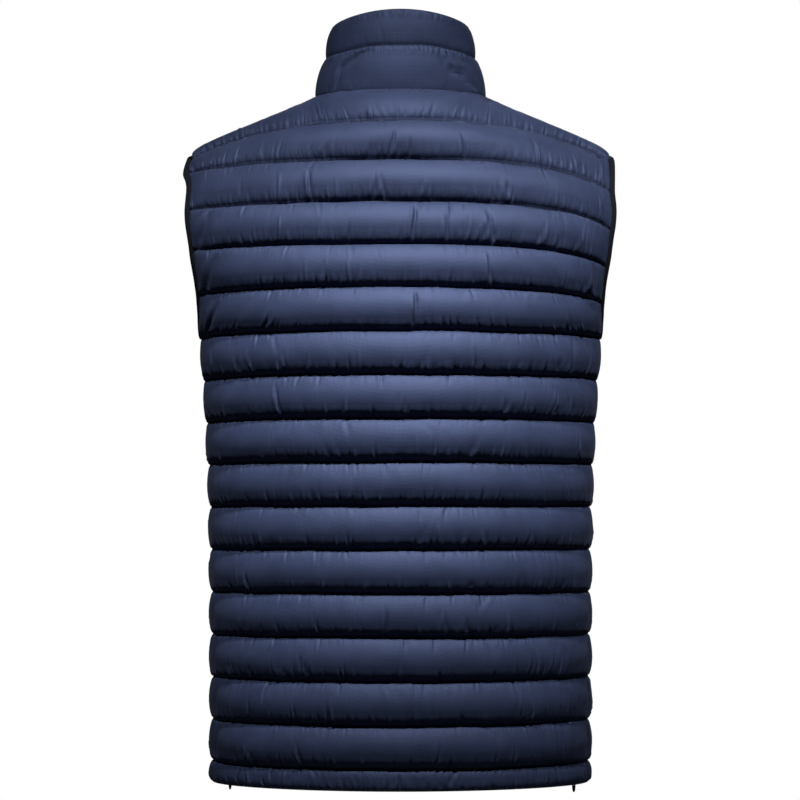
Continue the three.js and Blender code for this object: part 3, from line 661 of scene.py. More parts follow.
class Body:
    """Collects points and faces, and makes a mesh object of them.

    A plate's edge is rounded through edge_steps: shares of the bevel inward and up from its back.
    """

    edge_steps = ((2.0, 0.0), (1.0, 0.0), (0.3, 0.3), (0.0, 1.0))
    sharpest_corner = 0.3

    def __init__(self) -> None:
        """Starts empty."""
        self.points: list[np.ndarray] = []
        self.faces: list[tuple[int, ...]] = []
        self.lay: list[np.ndarray] = []
        self.count = 0

    def add(self, rows: np.ndarray, lay: np.ndarray | None = None) -> np.ndarray:
        """Adds a grid of points.

        Args:
            rows: Points in the order rows, columns, axes.
            lay: For each point, its distance along and down the cloth and from the nearest stitched line,
                and whether it lies low in its channel.

        Returns:
            The points' numbers, in the same order.
        """
        flat = rows.reshape(-1, 3)
        self.points.append(flat)
        self.lay.append(np.zeros((len(flat), 4)) if lay is None else lay.reshape(-1, 4))
        numbers = np.arange(self.count, self.count + len(flat)).reshape(rows.shape[:2])
        self.count += len(flat)
        return numbers

    def grid(self, ids: np.ndarray, turned: bool = False) -> None:
        """Adds a face for each cell of a grid of point numbers, turned round where asked.

        Args:
            ids: The points' numbers.
            turned: Whether the faces look the other way.
        """
        a, b, c, d = ids[:-1, :-1], ids[:-1, 1:], ids[1:, 1:], ids[1:, :-1]
        order = (a, d, c, b) if turned else (a, b, c, d)
        self.faces.extend(map(tuple, np.stack([k.ravel() for k in order], axis=1).tolist()))

    def stitch(self, first: list[tuple[int, float]], second: list[tuple[int, float]]) -> None:
        """Joins two edges that may be divided differently. Each entry is a point number and its place."""
        i = j = 0
        while i + 1 < len(first) or j + 1 < len(second):
            more = i + 1 < len(first)
            if more and (j + 1 >= len(second) or first[i + 1][1] <= second[j + 1][1]):
                self.faces.append((first[i + 1][0], first[i][0], second[j][0]))
                i += 1
            else:
                self.faces.append((first[i][0], second[j][0], second[j + 1][0]))
                j += 1

    def turn_out(self, since: int = 0) -> None:
        """Turns the faces added since a count out of the volume that they enclose."""
        points = np.concatenate(self.points)
        points = points - points[self.faces[since][0]]
        total = 0.0
        for size in {len(face) for face in self.faces[since:]}:
            part = np.array([face for face in self.faces[since:] if len(face) == size], dtype=int)
            for k in range(1, size - 1):
                a, b, c = points[part[:, 0]], points[part[:, k]], points[part[:, k + 1]]
                total += float(np.einsum("ij,ij->", a, np.cross(b, c)))
        if total < 0:
            self.faces[since:] = [face[::-1] for face in self.faces[since:]]

    def sweep(
        self, path: np.ndarray, axes: tuple[np.ndarray, np.ndarray], section: np.ndarray, ring: bool = False
    ) -> None:
        """Carries a closed section along a path.

        Args:
            path: The points of the line. A ring ends where it starts.
            axes: For each point, the directions of the section's first and second numbers.
            section: The section's points, for all the path or for each of its points.
            ring: Whether the path is closed, so that it has no ends to cap.
        """
        since = len(self.faces)
        shape = np.broadcast_to(section, (len(path), *section.shape[-2:]))
        shape = np.concatenate([shape, shape[:, :1]], axis=1)
        points = path[:, None] + shape[..., :1] * axes[0][:, None] + shape[..., 1:] * axes[1][:, None]
        girth = np.broadcast_to(run_of(shape[0]), points.shape[:2])
        run = np.broadcast_to(run_of(path)[:, None], points.shape[:2])
        ids = self.add(points, np.stack([girth, run, np.ones_like(run), np.zeros_like(run)], axis=2))
        self.grid(ids)
        if not ring:
            self.faces += [tuple(ids[0, :0:-1].tolist()), tuple(ids[-1, 1:].tolist())]
        self.turn_out(since)

    def plate(self, outline: np.ndarray, low: float, high: float, bevel: float, place: Place) -> None:
        """Adds a flat plate with rounded edges.

        Args:
            outline: The points round it.
            low: The height of its back.
            high: The height of its face.
            bevel: How far its edges are rounded.
            place: Where it lies, with its own axes.
        """
        since = len(self.faces)
        steps = unit(np.roll(outline, -1, axis=0) - outline)
        inward = np.stack([-steps[:, 1], steps[:, 0]], axis=1)
        both = inward + np.roll(inward, 1, axis=0)
        inset = both / np.maximum(np.sum(both**2, axis=1, keepdims=True) / 2, self.sharpest_corner)
        after = np.roll(outline, -1, axis=0)
        area = np.sum(outline[:, 0] * after[:, 1] - outline[:, 1] * after[:, 0])
        inset = inset * np.sign(area)
        rows = [(share * bevel, low + rise * bevel) for share, rise in self.edge_steps]
        rows += [(share, high + low - height) for share, height in reversed(rows)]
        rings = [np.column_stack([outline + inset * share, np.full(len(outline), z)]) for share, z in rows]
        ids = self.add(place.put(np.array(rings)))
        ids = np.concatenate([ids, ids[:, :1]], axis=1)
        self.grid(ids)
        self.faces += [tuple(ids[0, :0:-1].tolist()), tuple(ids[-1, 1:].tolist())]
        self.turn_out(since)

    def make(self, name: str) -> bpy.types.Object:
        """Makes the mesh object."""
        mesh = bpy.data.meshes.new(name)
        mesh.from_pydata(np.concatenate(self.points).tolist(), [], self.faces)
        mesh.validate()
        lay = np.concatenate(self.lay).astype(np.float32)
        mesh.attributes.new("lay", "FLOAT_VECTOR", "POINT").data.foreach_set("vector", lay[:, :3].ravel())
        mesh.attributes.new("low", "FLOAT", "POINT").data.foreach_set("value", lay[:, 3].copy())
        mesh.polygons.foreach_set("use_smooth", [True] * len(mesh.polygons))
        mesh.update()
        made = bpy.data.objects.new(name, mesh)
        bpy.context.scene.collection.objects.link(made)
        return made


@dataclass(frozen=True)
class Grain:
    """A small rounded solid that is set many times along a line, such as a stitch or a zip tooth.

    Its stations are shares of its half length, each with the share of its full section that it has there.
    """

    length: float
    width: float
    height: float
    sides: int = 5
    stations: tuple[tuple[float, float], ...] = ((-0.7, 0.75), (0.0, 1.0), (0.7, 0.75))

    def fill(self, body: Body, centres: np.ndarray, axes: tuple[np.ndarray, np.ndarray, np.ndarray]) -> None:
        """Adds a copy at each centre.

        Args:
            body: Takes the faces.
            centres: The copies' middles.
            axes: For each copy, the directions of its length, width and height.
        """
        since = len(body.faces)
        angle = np.arange(self.sides) * 2 * math.pi / self.sides
        shape = [[(-self.length / 2, 0.0, 0.0)]]
        for share, size in self.stations:
            ring = (share * self.length / 2 * np.ones_like(angle), np.cos(angle), np.sin(angle))
            shape.append(np.stack(ring, axis=1) * (1, size * self.width / 2, size * self.height / 2))
        shape.append([(self.length / 2, 0.0, 0.0)])
        template = np.concatenate([np.array(part, dtype=float) for part in shape])
        points = centres[:, None] + sum(template[None, :, k, None] * axes[k][:, None] for k in range(3))
        ids = body.add(points)
        rings = ids[:, 1:-1].reshape(len(ids), len(self.stations), self.sides)
        rings = np.concatenate([rings, rings[:, :, :1]], axis=2)
        a, b, c, d = rings[:, :-1, :-1], rings[:, :-1, 1:], rings[:, 1:, 1:], rings[:, 1:, :-1]
        body.faces.extend(map(tuple, np.stack([k.ravel() for k in (a, b, c, d)], axis=1).tolist()))
        ends = (
            (ids[:, :1], rings[:, 0, 1:], rings[:, 0, :-1]),
            (ids[:, -1:], rings[:, -1, :-1], rings[:, -1, 1:]),
        )
        for tip, near, far in ends:
            fans = [k.ravel() for k in (np.broadcast_to(tip, near.shape), near, far)]
            body.faces.extend(map(tuple, np.stack(fans, axis=1).tolist()))
        body.turn_out(since)


# Shader maths


class Wire:
    """A socket of a shader, which adds maths nodes when it is used in an expression."""

    def __init__(self, shader: "Shader", socket: bpy.types.NodeSocket) -> None:
        """Keeps the socket and the shader that it is in."""
        self.shader = shader
        self.socket = socket

    def __add__(self, other: "Wire | float") -> "Wire":
        """The sum."""
        return self.shader.maths("ADD", self, other)

    def __radd__(self, other: float) -> "Wire":
        """The sum, with the number first."""
        return self.shader.maths("ADD", other, self)

    def __sub__(self, other: "Wire | float") -> "Wire":
        """The difference."""
        return self.shader.maths("SUBTRACT", self, other)

    def __rsub__(self, other: float) -> "Wire":
        """The difference, with the number first."""
        return self.shader.maths("SUBTRACT", other, self)

    def __mul__(self, other: "Wire | float") -> "Wire":
        """The product."""
        return self.shader.maths("MULTIPLY", self, other)

    def __rmul__(self, other: float) -> "Wire":
        """The product, with the number first."""
        return self.shader.maths("MULTIPLY", other, self)

    def __pow__(self, other: float) -> "Wire":
        """The power."""
        return self.shader.maths("POWER", self, other)

    def __abs__(self) -> "Wire":
        """The size without its sign."""
        return self.shader.maths("ABSOLUTE", self)


Value = Wire | float | tuple | Vector


class Shader:
    """One material's node tree, built around its principled shader."""

    def __init__(self, name: str) -> None:
        """Makes the material.

        Args:
            name: The material's name.
        """
        self.material = bpy.data.materials.new(name)
        self.material.use_nodes = True
        self.tree = self.material.node_tree
        self.principled = next(n for n in self.tree.nodes if n.type == "BSDF_PRINCIPLED")

    def node(self, kind: str, settings: dict[str, object], inputs: dict[str | int, Value]) -> bpy.types.Node:
        """Adds a node.

        Args:
            kind: The node's type.
            settings: Its properties, set first.
            inputs: Values or wires for its sockets, by name or number.

        Returns:
            The new node.
        """
        made = self.tree.nodes.new(kind)
        for name, value in settings.items():
            setattr(made, name, value)
        for key, value in inputs.items():
            self.feed(made.inputs[key], value)
        return made

    def feed(self, socket: bpy.types.NodeSocket, value: Value) -> None:
        """Links a wire to a socket, or sets the socket's own value."""
        if isinstance(value, Wire):
            self.tree.links.new(value.socket, socket)
        else:
            socket.default_value = value

    def maths(self, operation: str, *values: Wire | float) -> Wire:
        """A Math node on one or two values."""
        made = self.node("ShaderNodeMath", {"operation": operation}, dict(enumerate(values)))
        return Wire(self, made.outputs[0])

    def vectors(self, operation: str, first: Value, second: Value) -> Wire:
        """A Vector Math node on two vectors."""
        made = self.node("ShaderNodeVectorMath", {"operation": operation}, {0: first, 1: second})
        return Wire(self, made.outputs[0])

    def mix(self, factor: Wire | float, first: Value, second: Value) -> Wire:
        """A mix of two colours."""
        made = self.node("ShaderNodeMix", {"data_type": "RGBA"}, {0: factor, 6: first, 7: second})
        return Wire(self, made.outputs[2])

    def noise(self, where: Wire, scale: float, detail: float = 2.0) -> Wire:
        """Noise from 0 to 1 at some places."""
        made = self.node("ShaderNodeTexNoise", {}, {"Vector": where, "Scale": scale, "Detail": detail})
        return Wire(self, made.outputs[0])

    def ramp(self, value: Wire, low: float, high: float) -> Wire:
        """A value brought from the range low to high to the range 0 to 1, with a smooth start and end."""
        settings = {"interpolation_type": "SMOOTHSTEP"}
        made = self.node("ShaderNodeMapRange", settings, {0: value, 1: low, 2: high, 3: 0.0, 4: 1.0})
        return Wire(self, made.outputs[0])

    def attribute(self, name: str) -> tuple[Wire, Wire, Wire, Wire]:
        """A point attribute as a vector and as its three numbers."""
        made = self.node("ShaderNodeAttribute", {"attribute_name": name}, {})
        vector = Wire(self, made.outputs["Vector"])
        split = self.node("ShaderNodeSeparateXYZ", {}, {0: vector})
        return (vector, *(Wire(self, split.outputs[i]) for i in range(3)))

    def place(self) -> Wire:
        """The place on the object, in metres."""
        return Wire(self, self.node("ShaderNodeTexCoord", {}, {}).outputs["Object"])

    def bump(self, height: Wire, strength: float, distance: float) -> None:
        """Raises the surface's shading by a height."""
        inputs = {"Strength": strength, "Distance": distance, "Height": height}
        made = self.node("ShaderNodeBump", {}, inputs)
        self.feed(self.principled.inputs["Normal"], Wire(self, made.outputs[0]))

    def surface(self, **values: Value) -> None:
        """Sets sockets of the principled shader. An underscore in a name stands for a space."""
        for name, value in values.items():
            self.feed(self.principled.inputs[name.replace("_", " ")], value)


# Finishes


def brighter(colour: tuple, times: float) -> tuple:
    """A colour made brighter, with no channel past 1."""
    return tuple(min(c * times, 1.0) for c in colour[:3]) + (1.0,)


@dataclass(frozen=True)
class ShellCloth:
    """Satin nylon ripstop in deep navy, with painted shade in the grooves of its stitched lines."""

    deep: tuple = (0.022, 0.0305, 0.067, 1.0)
    light: tuple = (0.028, 0.038, 0.083, 1.0)
    thread: tuple = (0.041, 0.056, 0.115, 1.0)
    # Painted shade: the colour that the cloth is mixed towards in the groove of a stitched line.
    shade: tuple = (0.0035, 0.0045, 0.012, 1.0)
    roughness: float = 0.60
    grid: float = 0.0042
    grid_line: float = 0.00045
    seam_half: float = 0.0011
    gather_reach: float = 0.014
    cloud_scale: float = 34.0
    cloud_detail: float = 3.0
    cloud_range: tuple[float, float] = (0.3, 0.7)
    cloud_roughness: float = 0.10
    seam_roughness: float = 0.15
    thread_share: float = 0.22
    seam_shade_share: float = 0.8
    gather_least: float = 0.35
    fold_stretch: Triple = (1.0, 0.22, 0.0)
    fold_scale: float = 230.0
    fine_scale: float = 900.0
    sheen: float = 0.02
    sheen_roughness: float = 0.45
    specular: float = 0.5
    specular_tint: tuple = (0.45, 0.56, 1.0, 1.0)
    fold_height: float = 3.6
    cloud_height: float = 0.3
    thread_height: float = 0.06
    fine_height: float = 0.05
    bump_strength: float = 0.6
    bump_distance: float = 0.0011

    def make(self) -> bpy.types.Material:
        """Builds the material."""
        shader = Shader("navy_ripstop")
        vector, along, down, seam = shader.attribute("lay")
        cloud = shader.noise(vector, self.cloud_scale, self.cloud_detail)
        lines = shader.maths("MAXIMUM", self.lines(shader, along), self.lines(shader, down))
        base = shader.mix(shader.ramp(cloud, *self.cloud_range), self.deep, self.light)
        woven = shader.mix(lines * self.thread_share, base, self.thread)
        # Painted shade: within seam_half of a stitched line, the cloth's colour is mixed towards the shade
        # colour where the groove lies in shadow. The same band is also made rougher.
        in_seam = 1 - shader.ramp(seam, 0.0, self.seam_half)
        colour = shader.mix(in_seam * self.seam_shade_share, woven, self.shade)
        low = Wire(shader, shader.node("ShaderNodeAttribute", {"attribute_name": "low"}, {}).outputs["Fac"])
        gathered = self.gather_least + low * (1 - self.gather_least)
        beside = (1 - shader.ramp(seam, 0.0, self.gather_reach)) * gathered
        stretched = shader.vectors("MULTIPLY", vector, Vector(self.fold_stretch))
        folds = shader.noise(stretched, self.fold_scale)
        fine = shader.noise(vector, self.fine_scale)
        uneven = self.cloud_roughness * cloud - self.cloud_roughness / 2
        shader.surface(Base_Color=colour, Roughness=self.roughness + uneven + in_seam * self.seam_roughness)
        shader.surface(Sheen_Weight=self.sheen, Sheen_Roughness=self.sheen_roughness)
        shader.surface(Specular_IOR_Level=self.specular, Specular_Tint=self.specular_tint)
        height = folds * beside * self.fold_height + cloud * self.cloud_height
        height = height + lines * self.thread_height + fine * self.fine_height
        shader.bump(height, self.bump_strength, self.bump_distance)
        return shader.material

    def lines(self, shader: Shader, value: Wire) -> Wire:
        """The ripstop's heavier threads across one direction, 1 on a thread."""
        cell = shader.maths("PINGPONG", value, self.grid / 2)
        return 1 - shader.ramp(cell, 0.0, self.grid_line)


@dataclass(frozen=True)
class Ribbed:
    """A matt ribbed or braided band or cord, near black."""

    name: str
    colour: tuple
    pitch: float
    roughness: float = 0.7
    along: int = 1
    cloud_scale: float = 120.0
    cloud_detail: float = 3.0
    cloud_roughness: float = 0.15
    lighter: float = 1.9
    specular: float = 0.15
    bump_strength: float = 0.6
    bump_share: float = 0.4

    def make(self) -> bpy.types.Material:
        """Builds the material."""
        shader = Shader(self.name)
        parts = shader.attribute("lay")
        rib = shader.maths("PINGPONG", parts[self.along], self.pitch / 2) * (2 / self.pitch)
        cloud = shader.noise(parts[0], self.cloud_scale, self.cloud_detail)
        light = brighter(self.colour, self.lighter)
        shader.surface(Base_Color=shader.mix(rib * 0.5 + cloud * 0.5, self.colour, light))
        roughness = self.roughness + cloud * self.cloud_roughness
        shader.surface(Roughness=roughness, Specular_IOR_Level=self.specular)
        shader.bump(rib, self.bump_strength, self.pitch * self.bump_share)
        return shader.material


@dataclass(frozen=True)
class Woven:
    """A matt woven tape or thread, by its place in space."""

    name: str
    colour: tuple
    scale: float
    roughness: float = 0.8
    weave_roughness: float = 0.1
    lighter: float = 2.2
    distortion: float = 1.0
    bump_strength: float = 0.5
    bump_distance: float = 0.0003

    def make(self) -> bpy.types.Material:
        """Builds the material."""
        shader = Shader(self.name)
        settings = {"wave_type": "BANDS", "bands_direction": "DIAGONAL"}
        inputs = {"Vector": shader.place(), "Scale": self.scale, "Distortion": self.distortion}
        weave = Wire(shader, shader.node("ShaderNodeTexWave", settings, inputs).outputs[1])
        light = brighter(self.colour, self.lighter)
        roughness = self.roughness - weave * self.weave_roughness
        shader.surface(Base_Color=shader.mix(weave, self.colour, light), Roughness=roughness)
        shader.bump(weave, self.bump_strength, self.bump_distance)
        return shader.material


@dataclass(frozen=True)
class Hard:
    """A hard part: nylon coil or painted metal."""

    name: str
    colour: tuple
    roughness: float
    metallic: float = 0.0
    wear_scale: float = 260.0
    wear_detail: float = 4.0
    wear_roughness: float = 0.15
    wear_middle: float = 0.07
    lighter: float = 1.6
    bump_strength: float = 0.15
    bump_distance: float = 0.0001

    def make(self) -> bpy.types.Material:
        """Builds the material."""
        shader = Shader(self.name)
        wear = shader.noise(shader.place(), self.wear_scale, self.wear_detail)
        light = brighter(self.colour, self.lighter)
        shader.surface(Base_Color=shader.mix(wear, self.colour, light), Metallic=self.metallic)
        shader.surface(Roughness=self.roughness + wear * self.wear_roughness - self.wear_middle)
        shader.bump(wear, self.bump_strength, self.bump_distance)
        return shader.material


class Slot(Enum):
    """The material slots that pieces are dressed in."""

    SHELL = "shell_cloth"
    BINDING = "binding"
    TAPE = "zip_tape"
    TEETH = "zip_teeth"
    METAL = "zip_metal"
    CORD = "elastic_cord"


FINISHES = {
    Slot.SHELL: ShellCloth(),
    Slot.BINDING: Ribbed("black_binding", (0.004, 0.005, 0.008, 1.0), pitch=0.0011, roughness=0.72),
    Slot.TAPE: Woven("navy_tape", (0.010, 0.012, 0.026, 1.0), scale=900.0),
    Slot.TEETH: Hard("navy_coil", (0.010, 0.012, 0.024, 1.0), roughness=0.42),
    Slot.METAL: Hard("black_paint", (0.012, 0.013, 0.018, 1.0), roughness=0.34, metallic=0.5),
    Slot.CORD: Ribbed("black_elastic", (0.004, 0.004, 0.006, 1.0), pitch=0.0009, roughness=0.75, along=2),
}
THREAD = Woven("navy_thread", (0.012, 0.015, 0.040, 1.0), scale=1500.0, roughness=0.6)


class Wardrobe:
    """Makes each material once and dresses pieces in them."""

    def __init__(self) -> None:
        """Builds the materials."""
        self.made = {slot: finish.make() for slot, finish in FINISHES.items()}
        self.thread = THREAD.make()

    def dress(self, piece: bpy.types.Object, slot: Slot, body: str = VEST, *nodes: str) -> bpy.types.Object:
        """Gives a piece its material and slot, sets it on a body and lets it stand for nodes.

        Args:
            piece: The piece.
            slot: Its slot.
            body: The body it rides on.
            *nodes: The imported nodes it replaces.

        Returns:
            The piece.
        """
        piece.data.materials.clear()
        piece.data.materials.append(self.made[slot])
        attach(piece, body)
        if nodes:
            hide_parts(*nodes)
        LOG.info("%s: %d faces, %s", piece.name, len(piece.data.polygons), slot.value)
        return piece

    def sew(self, piece: bpy.types.Object) -> bpy.types.Object:
        """Gives stitching its thread."""
        self.dress(piece, Slot.SHELL)
        piece.data.materials[0] = self.thread
        return piece


# Quilted panels


@dataclass(frozen=True)
class SeamSide:
    """How the small creases on one side of a stitched line differ from those on the other.

    side is -1 above the line and 1 below it. The numbers are shares of the panel's own spacing, length and
    depth, and of the creases that are long. Only where it has ridges do some creases stand up.
    """

    side: int
    spacing: float
    long_share: float
    length: float
    depth: float
    ridges: bool


ABOVE = SeamSide(-1, spacing=1.0, long_share=0.14, length=1.0, depth=1.0, ridges=True)
BELOW = SeamSide(1, spacing=1.9, long_share=0.06, length=0.75, depth=0.7, ridges=False)


@dataclass(frozen=True)
class Quilting:
    """How the padding fills out the channels of a panel, and how the cloth gathers at the stitching.

    Puckers are fine pleats along a stitched line, and gathers are single creases that run into it. A pair
    of numbers is a range to draw from, and a swing is how much of a value noise adds or takes away.
    """

    wall: float = 0.0024
    loft: float = 0.0098
    side_loft: float = 0.0030
    hem_loft: float = 0.0040
    top_loft: float = 0.0072
    edge_share: float = 0.35
    edge_reach: float = 0.020
    sag: float = 1.10
    roundness: float = 0.78
    thinnest: float = 0.6
    pucker: float = 0.0012
    pucker_swing: float = 0.45
    pucker_base: float = 0.75
    pucker_run: float = 0.06
    pucker_step: float = 0.0095
    pucker_sharpness: float = 0.7
    pucker_reach: float = 0.010
    pucker_reach_base: float = 1.15
    pucker_reach_swing: float = 0.85
    pucker_reach_run: float = 0.014
    pucker_lean: float = 0.9
    pucker_lean_run: float = 0.045
    pucker_rise: float = 0.0012
    pucker_fade: float = 1.3
    pucker_gain: float = 1.6
    fine_share: float = 0.45
    fine_sharpness: float = 0.8
    wiggle: float = 0.0006
    wiggle_run: float = 0.03
    groove: float = 0.0008
    groove_width: float = 0.0014
    crease_gain: float = 1.4
    gather_depth: float = 0.0020
    gather_depths: tuple[float, float] = (0.35, 1.25)
    gather_trough_share: float = 0.6
    gather_ridge_depth: float = 0.8
    gather_spacing: float = 0.0125
    gather_spacings: tuple[float, float] = (0.35, 1.6)
    gather_crowding: float = 0.8
    gather_crowding_run: float = 0.05
    gather_crowding_least: float = 0.35
    gather_length: float = 0.011
    gather_lengths: tuple[float, float] = (0.5, 1.35)
    gather_long_lengths: tuple[float, float] = (1.6, 2.6)
    gather_long_depth: float = 1.25
    gather_widths: tuple[float, float] = (0.0009, 0.0015)
    gather_centre: float = 0.38
    lean: float = -22.0
    lean_base: float = 1.2
    lean_swing: float = 1.4
    lean_run: float = 0.09
    lean_spread: float = 17.0
    inner_puff: float = 0.0016
    low_start: float = 0.4
    low_span: float = 0.3


@dataclass
class Panel:
    """A quilted panel: a closed wall with full channels outside and a plainer inside."""

    name: str
    nodes: tuple[str, ...]
    surface: Surface
    first: float
    last: float
    columns: int
    seed: int
    mirrored: bool = False
    lines: int = 17
    edge_first: float = 0.0
    edge_last: float = 0.0
    quilting: Quilting = field(default_factory=Quilting)
    creases: tuple[Crease, ...] = ()
    row_steps: tuple[float, ...] = (0, 0.03, 0.07, 0.13, 0.21, 0.32, 0.46, 0.61, 0.75, 0.87, 0.95)
    inner_steps: tuple[float, ...] = (0, 0.12, 0.5, 0.88)
    inner_columns: int = 100
    seam_gap: float = 0.0002
    inner_edge_power: int = 12
    gather_seed: int = 77
    wiggle_seed: int = 500
    seams: list[tuple[np.ndarray, np.ndarray]] = field(default_factory=list)

    def places(self, steps: tuple[float, ...]) -> np.ndarray:
        """The rows' places: the quilting lines and the steps between them."""
        rows = [line + step for line in range(self.lines) for step in steps] + [self.lines]
        rows[0] = self.seam_gap / TORSO.pitch
        return np.array(rows, dtype=float)

    def base(self, places: np.ndarray, columns: np.ndarray) -> np.ndarray:
        """Points of the pressed wall.

        Args:
            places: The rows' quilting lines.
            columns: The columns' shares across the panel.

        Returns:
            The points.
        """
        rows = np.stack([self.surface(columns, float(line)) for line in places])
        if self.mirrored:
            rows[:, :, 0] *= -1
        return rows

    @staticmethod
    def directions(base: np.ndarray) -> np.ndarray:
        """Directions out of the wall.

        Args:
            base: The wall's points.

        Returns:
            A direction for each point.
        """
        normal = normals_of(base)
        middle = base[len(base) // 2]
        centre = np.array([0.0, 0.0, middle[:, 2].mean()])
        if float(np.sum(normal[len(base) // 2] * (middle - centre))) < 0:
            normal = -normal
        return normal

    def loft(self, along: np.ndarray, places: np.ndarray, columns: np.ndarray) -> np.ndarray:
        """How far the padding stands out at each point, before creases.

        Args:
            along: Each point's distance along the cloth.
            places: The rows' quilting lines.
            columns: The columns' shares across the panel.

        Returns:
            The height over the wall.
        """
        q = self.quilting
        t = (places - np.floor(places))[:, None]
        t[-1] = 0.0
        out = np.abs(columns)[None, :] if self.first < 0 else 1 - columns[None, :]
        full = q.loft + (q.side_loft - q.loft) * out**3
        channel = np.floor(places)[:, None]
        full = np.where(channel < 1, q.top_loft, full)
        full = np.where(channel >= self.lines - 1, q.hem_loft, full) if self.lines > 2 else full
        shape = np.maximum(1 - np.abs(2 * t**q.sag - 1) ** 2, 0) ** q.roundness
        near = np.minimum(along - along[:, :1] + self.edge_first, along[:, -1:] - along + self.edge_last)
        x = np.clip(near / q.edge_reach, 0, 1)
        fade = q.edge_share + (1 - q.edge_share) * np.sqrt(np.maximum(1 - (1 - x) ** 2, 0))
        return full * shape * fade

    def puckers(self, along: np.ndarray, places: np.ndarray, height: np.ndarray) -> np.ndarray:
        """The gathers above and below each stitched line.

        Args:
            along: Each point's distance along the cloth.
            places: The rows' quilting lines.
            height: Each channel's height.

        Returns:
            The rise at each point.
        """
        q = self.quilting
        noise = Noise(self.seed)
        total = np.zeros_like(along)
        for row, place in enumerate(places):
            channel = min(int(place), self.lines - 1)
            t = place - channel
            s = along[row]
            for seam, distance, side in ((channel, t, 0), (channel + 1, 1 - t, 1)):
                d = distance * height[channel]
                key = 40 * seam + 10 * side
                lean = q.pucker_lean * noise.along(s, q.pucker_lean_run, key + 1)
                at = s + lean * d
                swing = q.pucker_reach_swing * noise.along(at, q.pucker_reach_run, key + 2)
                reach = q.pucker_reach * (q.pucker_reach_base + swing)
                size = q.pucker * (q.pucker_base + q.pucker_swing * noise.along(s, q.pucker_run, key + 3))
                fold = np.abs(noise.along(at, q.pucker_step, key + 4)) ** q.pucker_sharpness - 0.5
                fine_step = q.pucker_step * q.fine_share
                fine = np.abs(noise.along(at, fine_step, key + 5)) ** q.fine_sharpness - 0.5
                rise = d / (d + q.pucker_rise)
                total[row] += size * rise * np.exp(-((d / reach) ** q.pucker_fade)) * fold
                fade = np.exp(-((d / (q.fine_share * reach)) ** q.pucker_fade))
                total[row] += q.fine_share * size * rise * fade * fine
        return total

    def gathers(self, along: np.ndarray, places: np.ndarray, columns: np.ndarray) -> list[Crease]:
        """Small sharp creases that run into each stitched line, at uneven places.

        Args:
            along: Each point's distance along the cloth.
            places: The rows' quilting lines.
            columns: The columns' shares across the panel.

        Returns:
            The creases.
        """
        q = self.quilting
        rng = np.random.default_rng(self.seed + self.gather_seed)
        made = []
        for seam in range(self.lines + 1):
            row = int(np.argmin(np.abs(places - seam)))
            for edge in (ABOVE, BELOW):
                if not 0 <= seam + edge.side / 2 <= self.lines:
                    continue
                crowd = Noise(self.seed + seam)
                place = along[row, 0]
                while place < along[row, -1]:
                    crowding = crowd.along(np.array([place]), q.gather_crowding_run, edge.side + 1)
                    busy = max(1.0 + q.gather_crowding * float(crowding[0]), q.gather_crowding_least)
                    place += rng.uniform(*q.gather_spacings) * q.gather_spacing / busy * edge.spacing
                    long = rng.random() < edge.long_share
                    lengths = q.gather_long_lengths if long else q.gather_lengths
                    length = q.gather_length * rng.uniform(*lengths) * edge.length
                    swing = crowd.along(np.array([place]), q.lean_run, edge.side + 7)
                    lean = q.lean * (q.lean_base + q.lean_swing * float(swing[0]))
                    turn = 90 + lean + rng.normal(0, q.lean_spread)
                    depth = q.gather_depth * rng.uniform(*q.gather_depths)
                    depth *= (q.gather_long_depth if long else 1.0) * edge.depth
                    if edge.ridges and rng.random() >= q.gather_trough_share:
                        depth *= -q.gather_ridge_depth
                    across = float(np.interp(place, along[row], columns))
                    line = seam + edge.side * q.gather_centre * length / TORSO.pitch
                    made.append(Crease(across, line, length, turn, depth, rng.uniform(*q.gather_widths)))
        return made

    def crease_depth(
        self, along: np.ndarray, down: np.ndarray, columns: np.ndarray, places: np.ndarray
    ) -> np.ndarray:
        """All creases, as a depth at each point. None of them crosses a stitched line.

        Args:
            along: Each point's distance along the cloth.
            down: Each point's distance down the cloth.
            columns: The columns' shares across the panel.
            places: The rows' quilting lines.

        Returns:
            The depth at each point.
        """
        total = np.zeros_like(along)
        channels = np.minimum(places.astype(int), self.lines - 1)
        for crease in (*self.creases, *self.gathers(along, places, columns)):
            row = int(np.argmin(np.abs(places - crease.line)))
            column = int(np.argmin(np.abs(columns - crease.across)))
            middle = float(np.interp(crease.across, columns, along[row]))
            height = float(np.interp(crease.line, places, down[:, column]))
            reach = crease.reach()
            rows = np.nonzero(channels == min(max(int(crease.line), 0), self.lines - 1))[0]
            low, high = np.searchsorted(along[row], (middle - reach, middle + reach))
            part = np.s_[rows[0]:rows[-1] + 1, low:high]
            total[part] += crease.press(along[part] - middle, down[part] - height)
        return total

    def sway(self, along: np.ndarray, places: np.ndarray) -> np.ndarray:
        """How far each point moves up or down, so that the stitched lines aren't quite straight.

        Args:
            along: Each point's distance along the cloth.
            places: The rows' quilting lines.

        Returns:
            The shift of each point.
        """
        q = self.quilting
        noise = Noise(self.seed + self.wiggle_seed)
        shift = np.zeros_like(along)
        for row, place in enumerate(places):
            channel = min(int(place), self.lines - 1)
            part = place - channel
            for line, share in ((channel, 1 - part), (channel + 1, part)):
                if 0 < line < self.lines:
                    shift[row] += q.wiggle * share * noise.along(along[row], q.wiggle_run, line)
        return shift

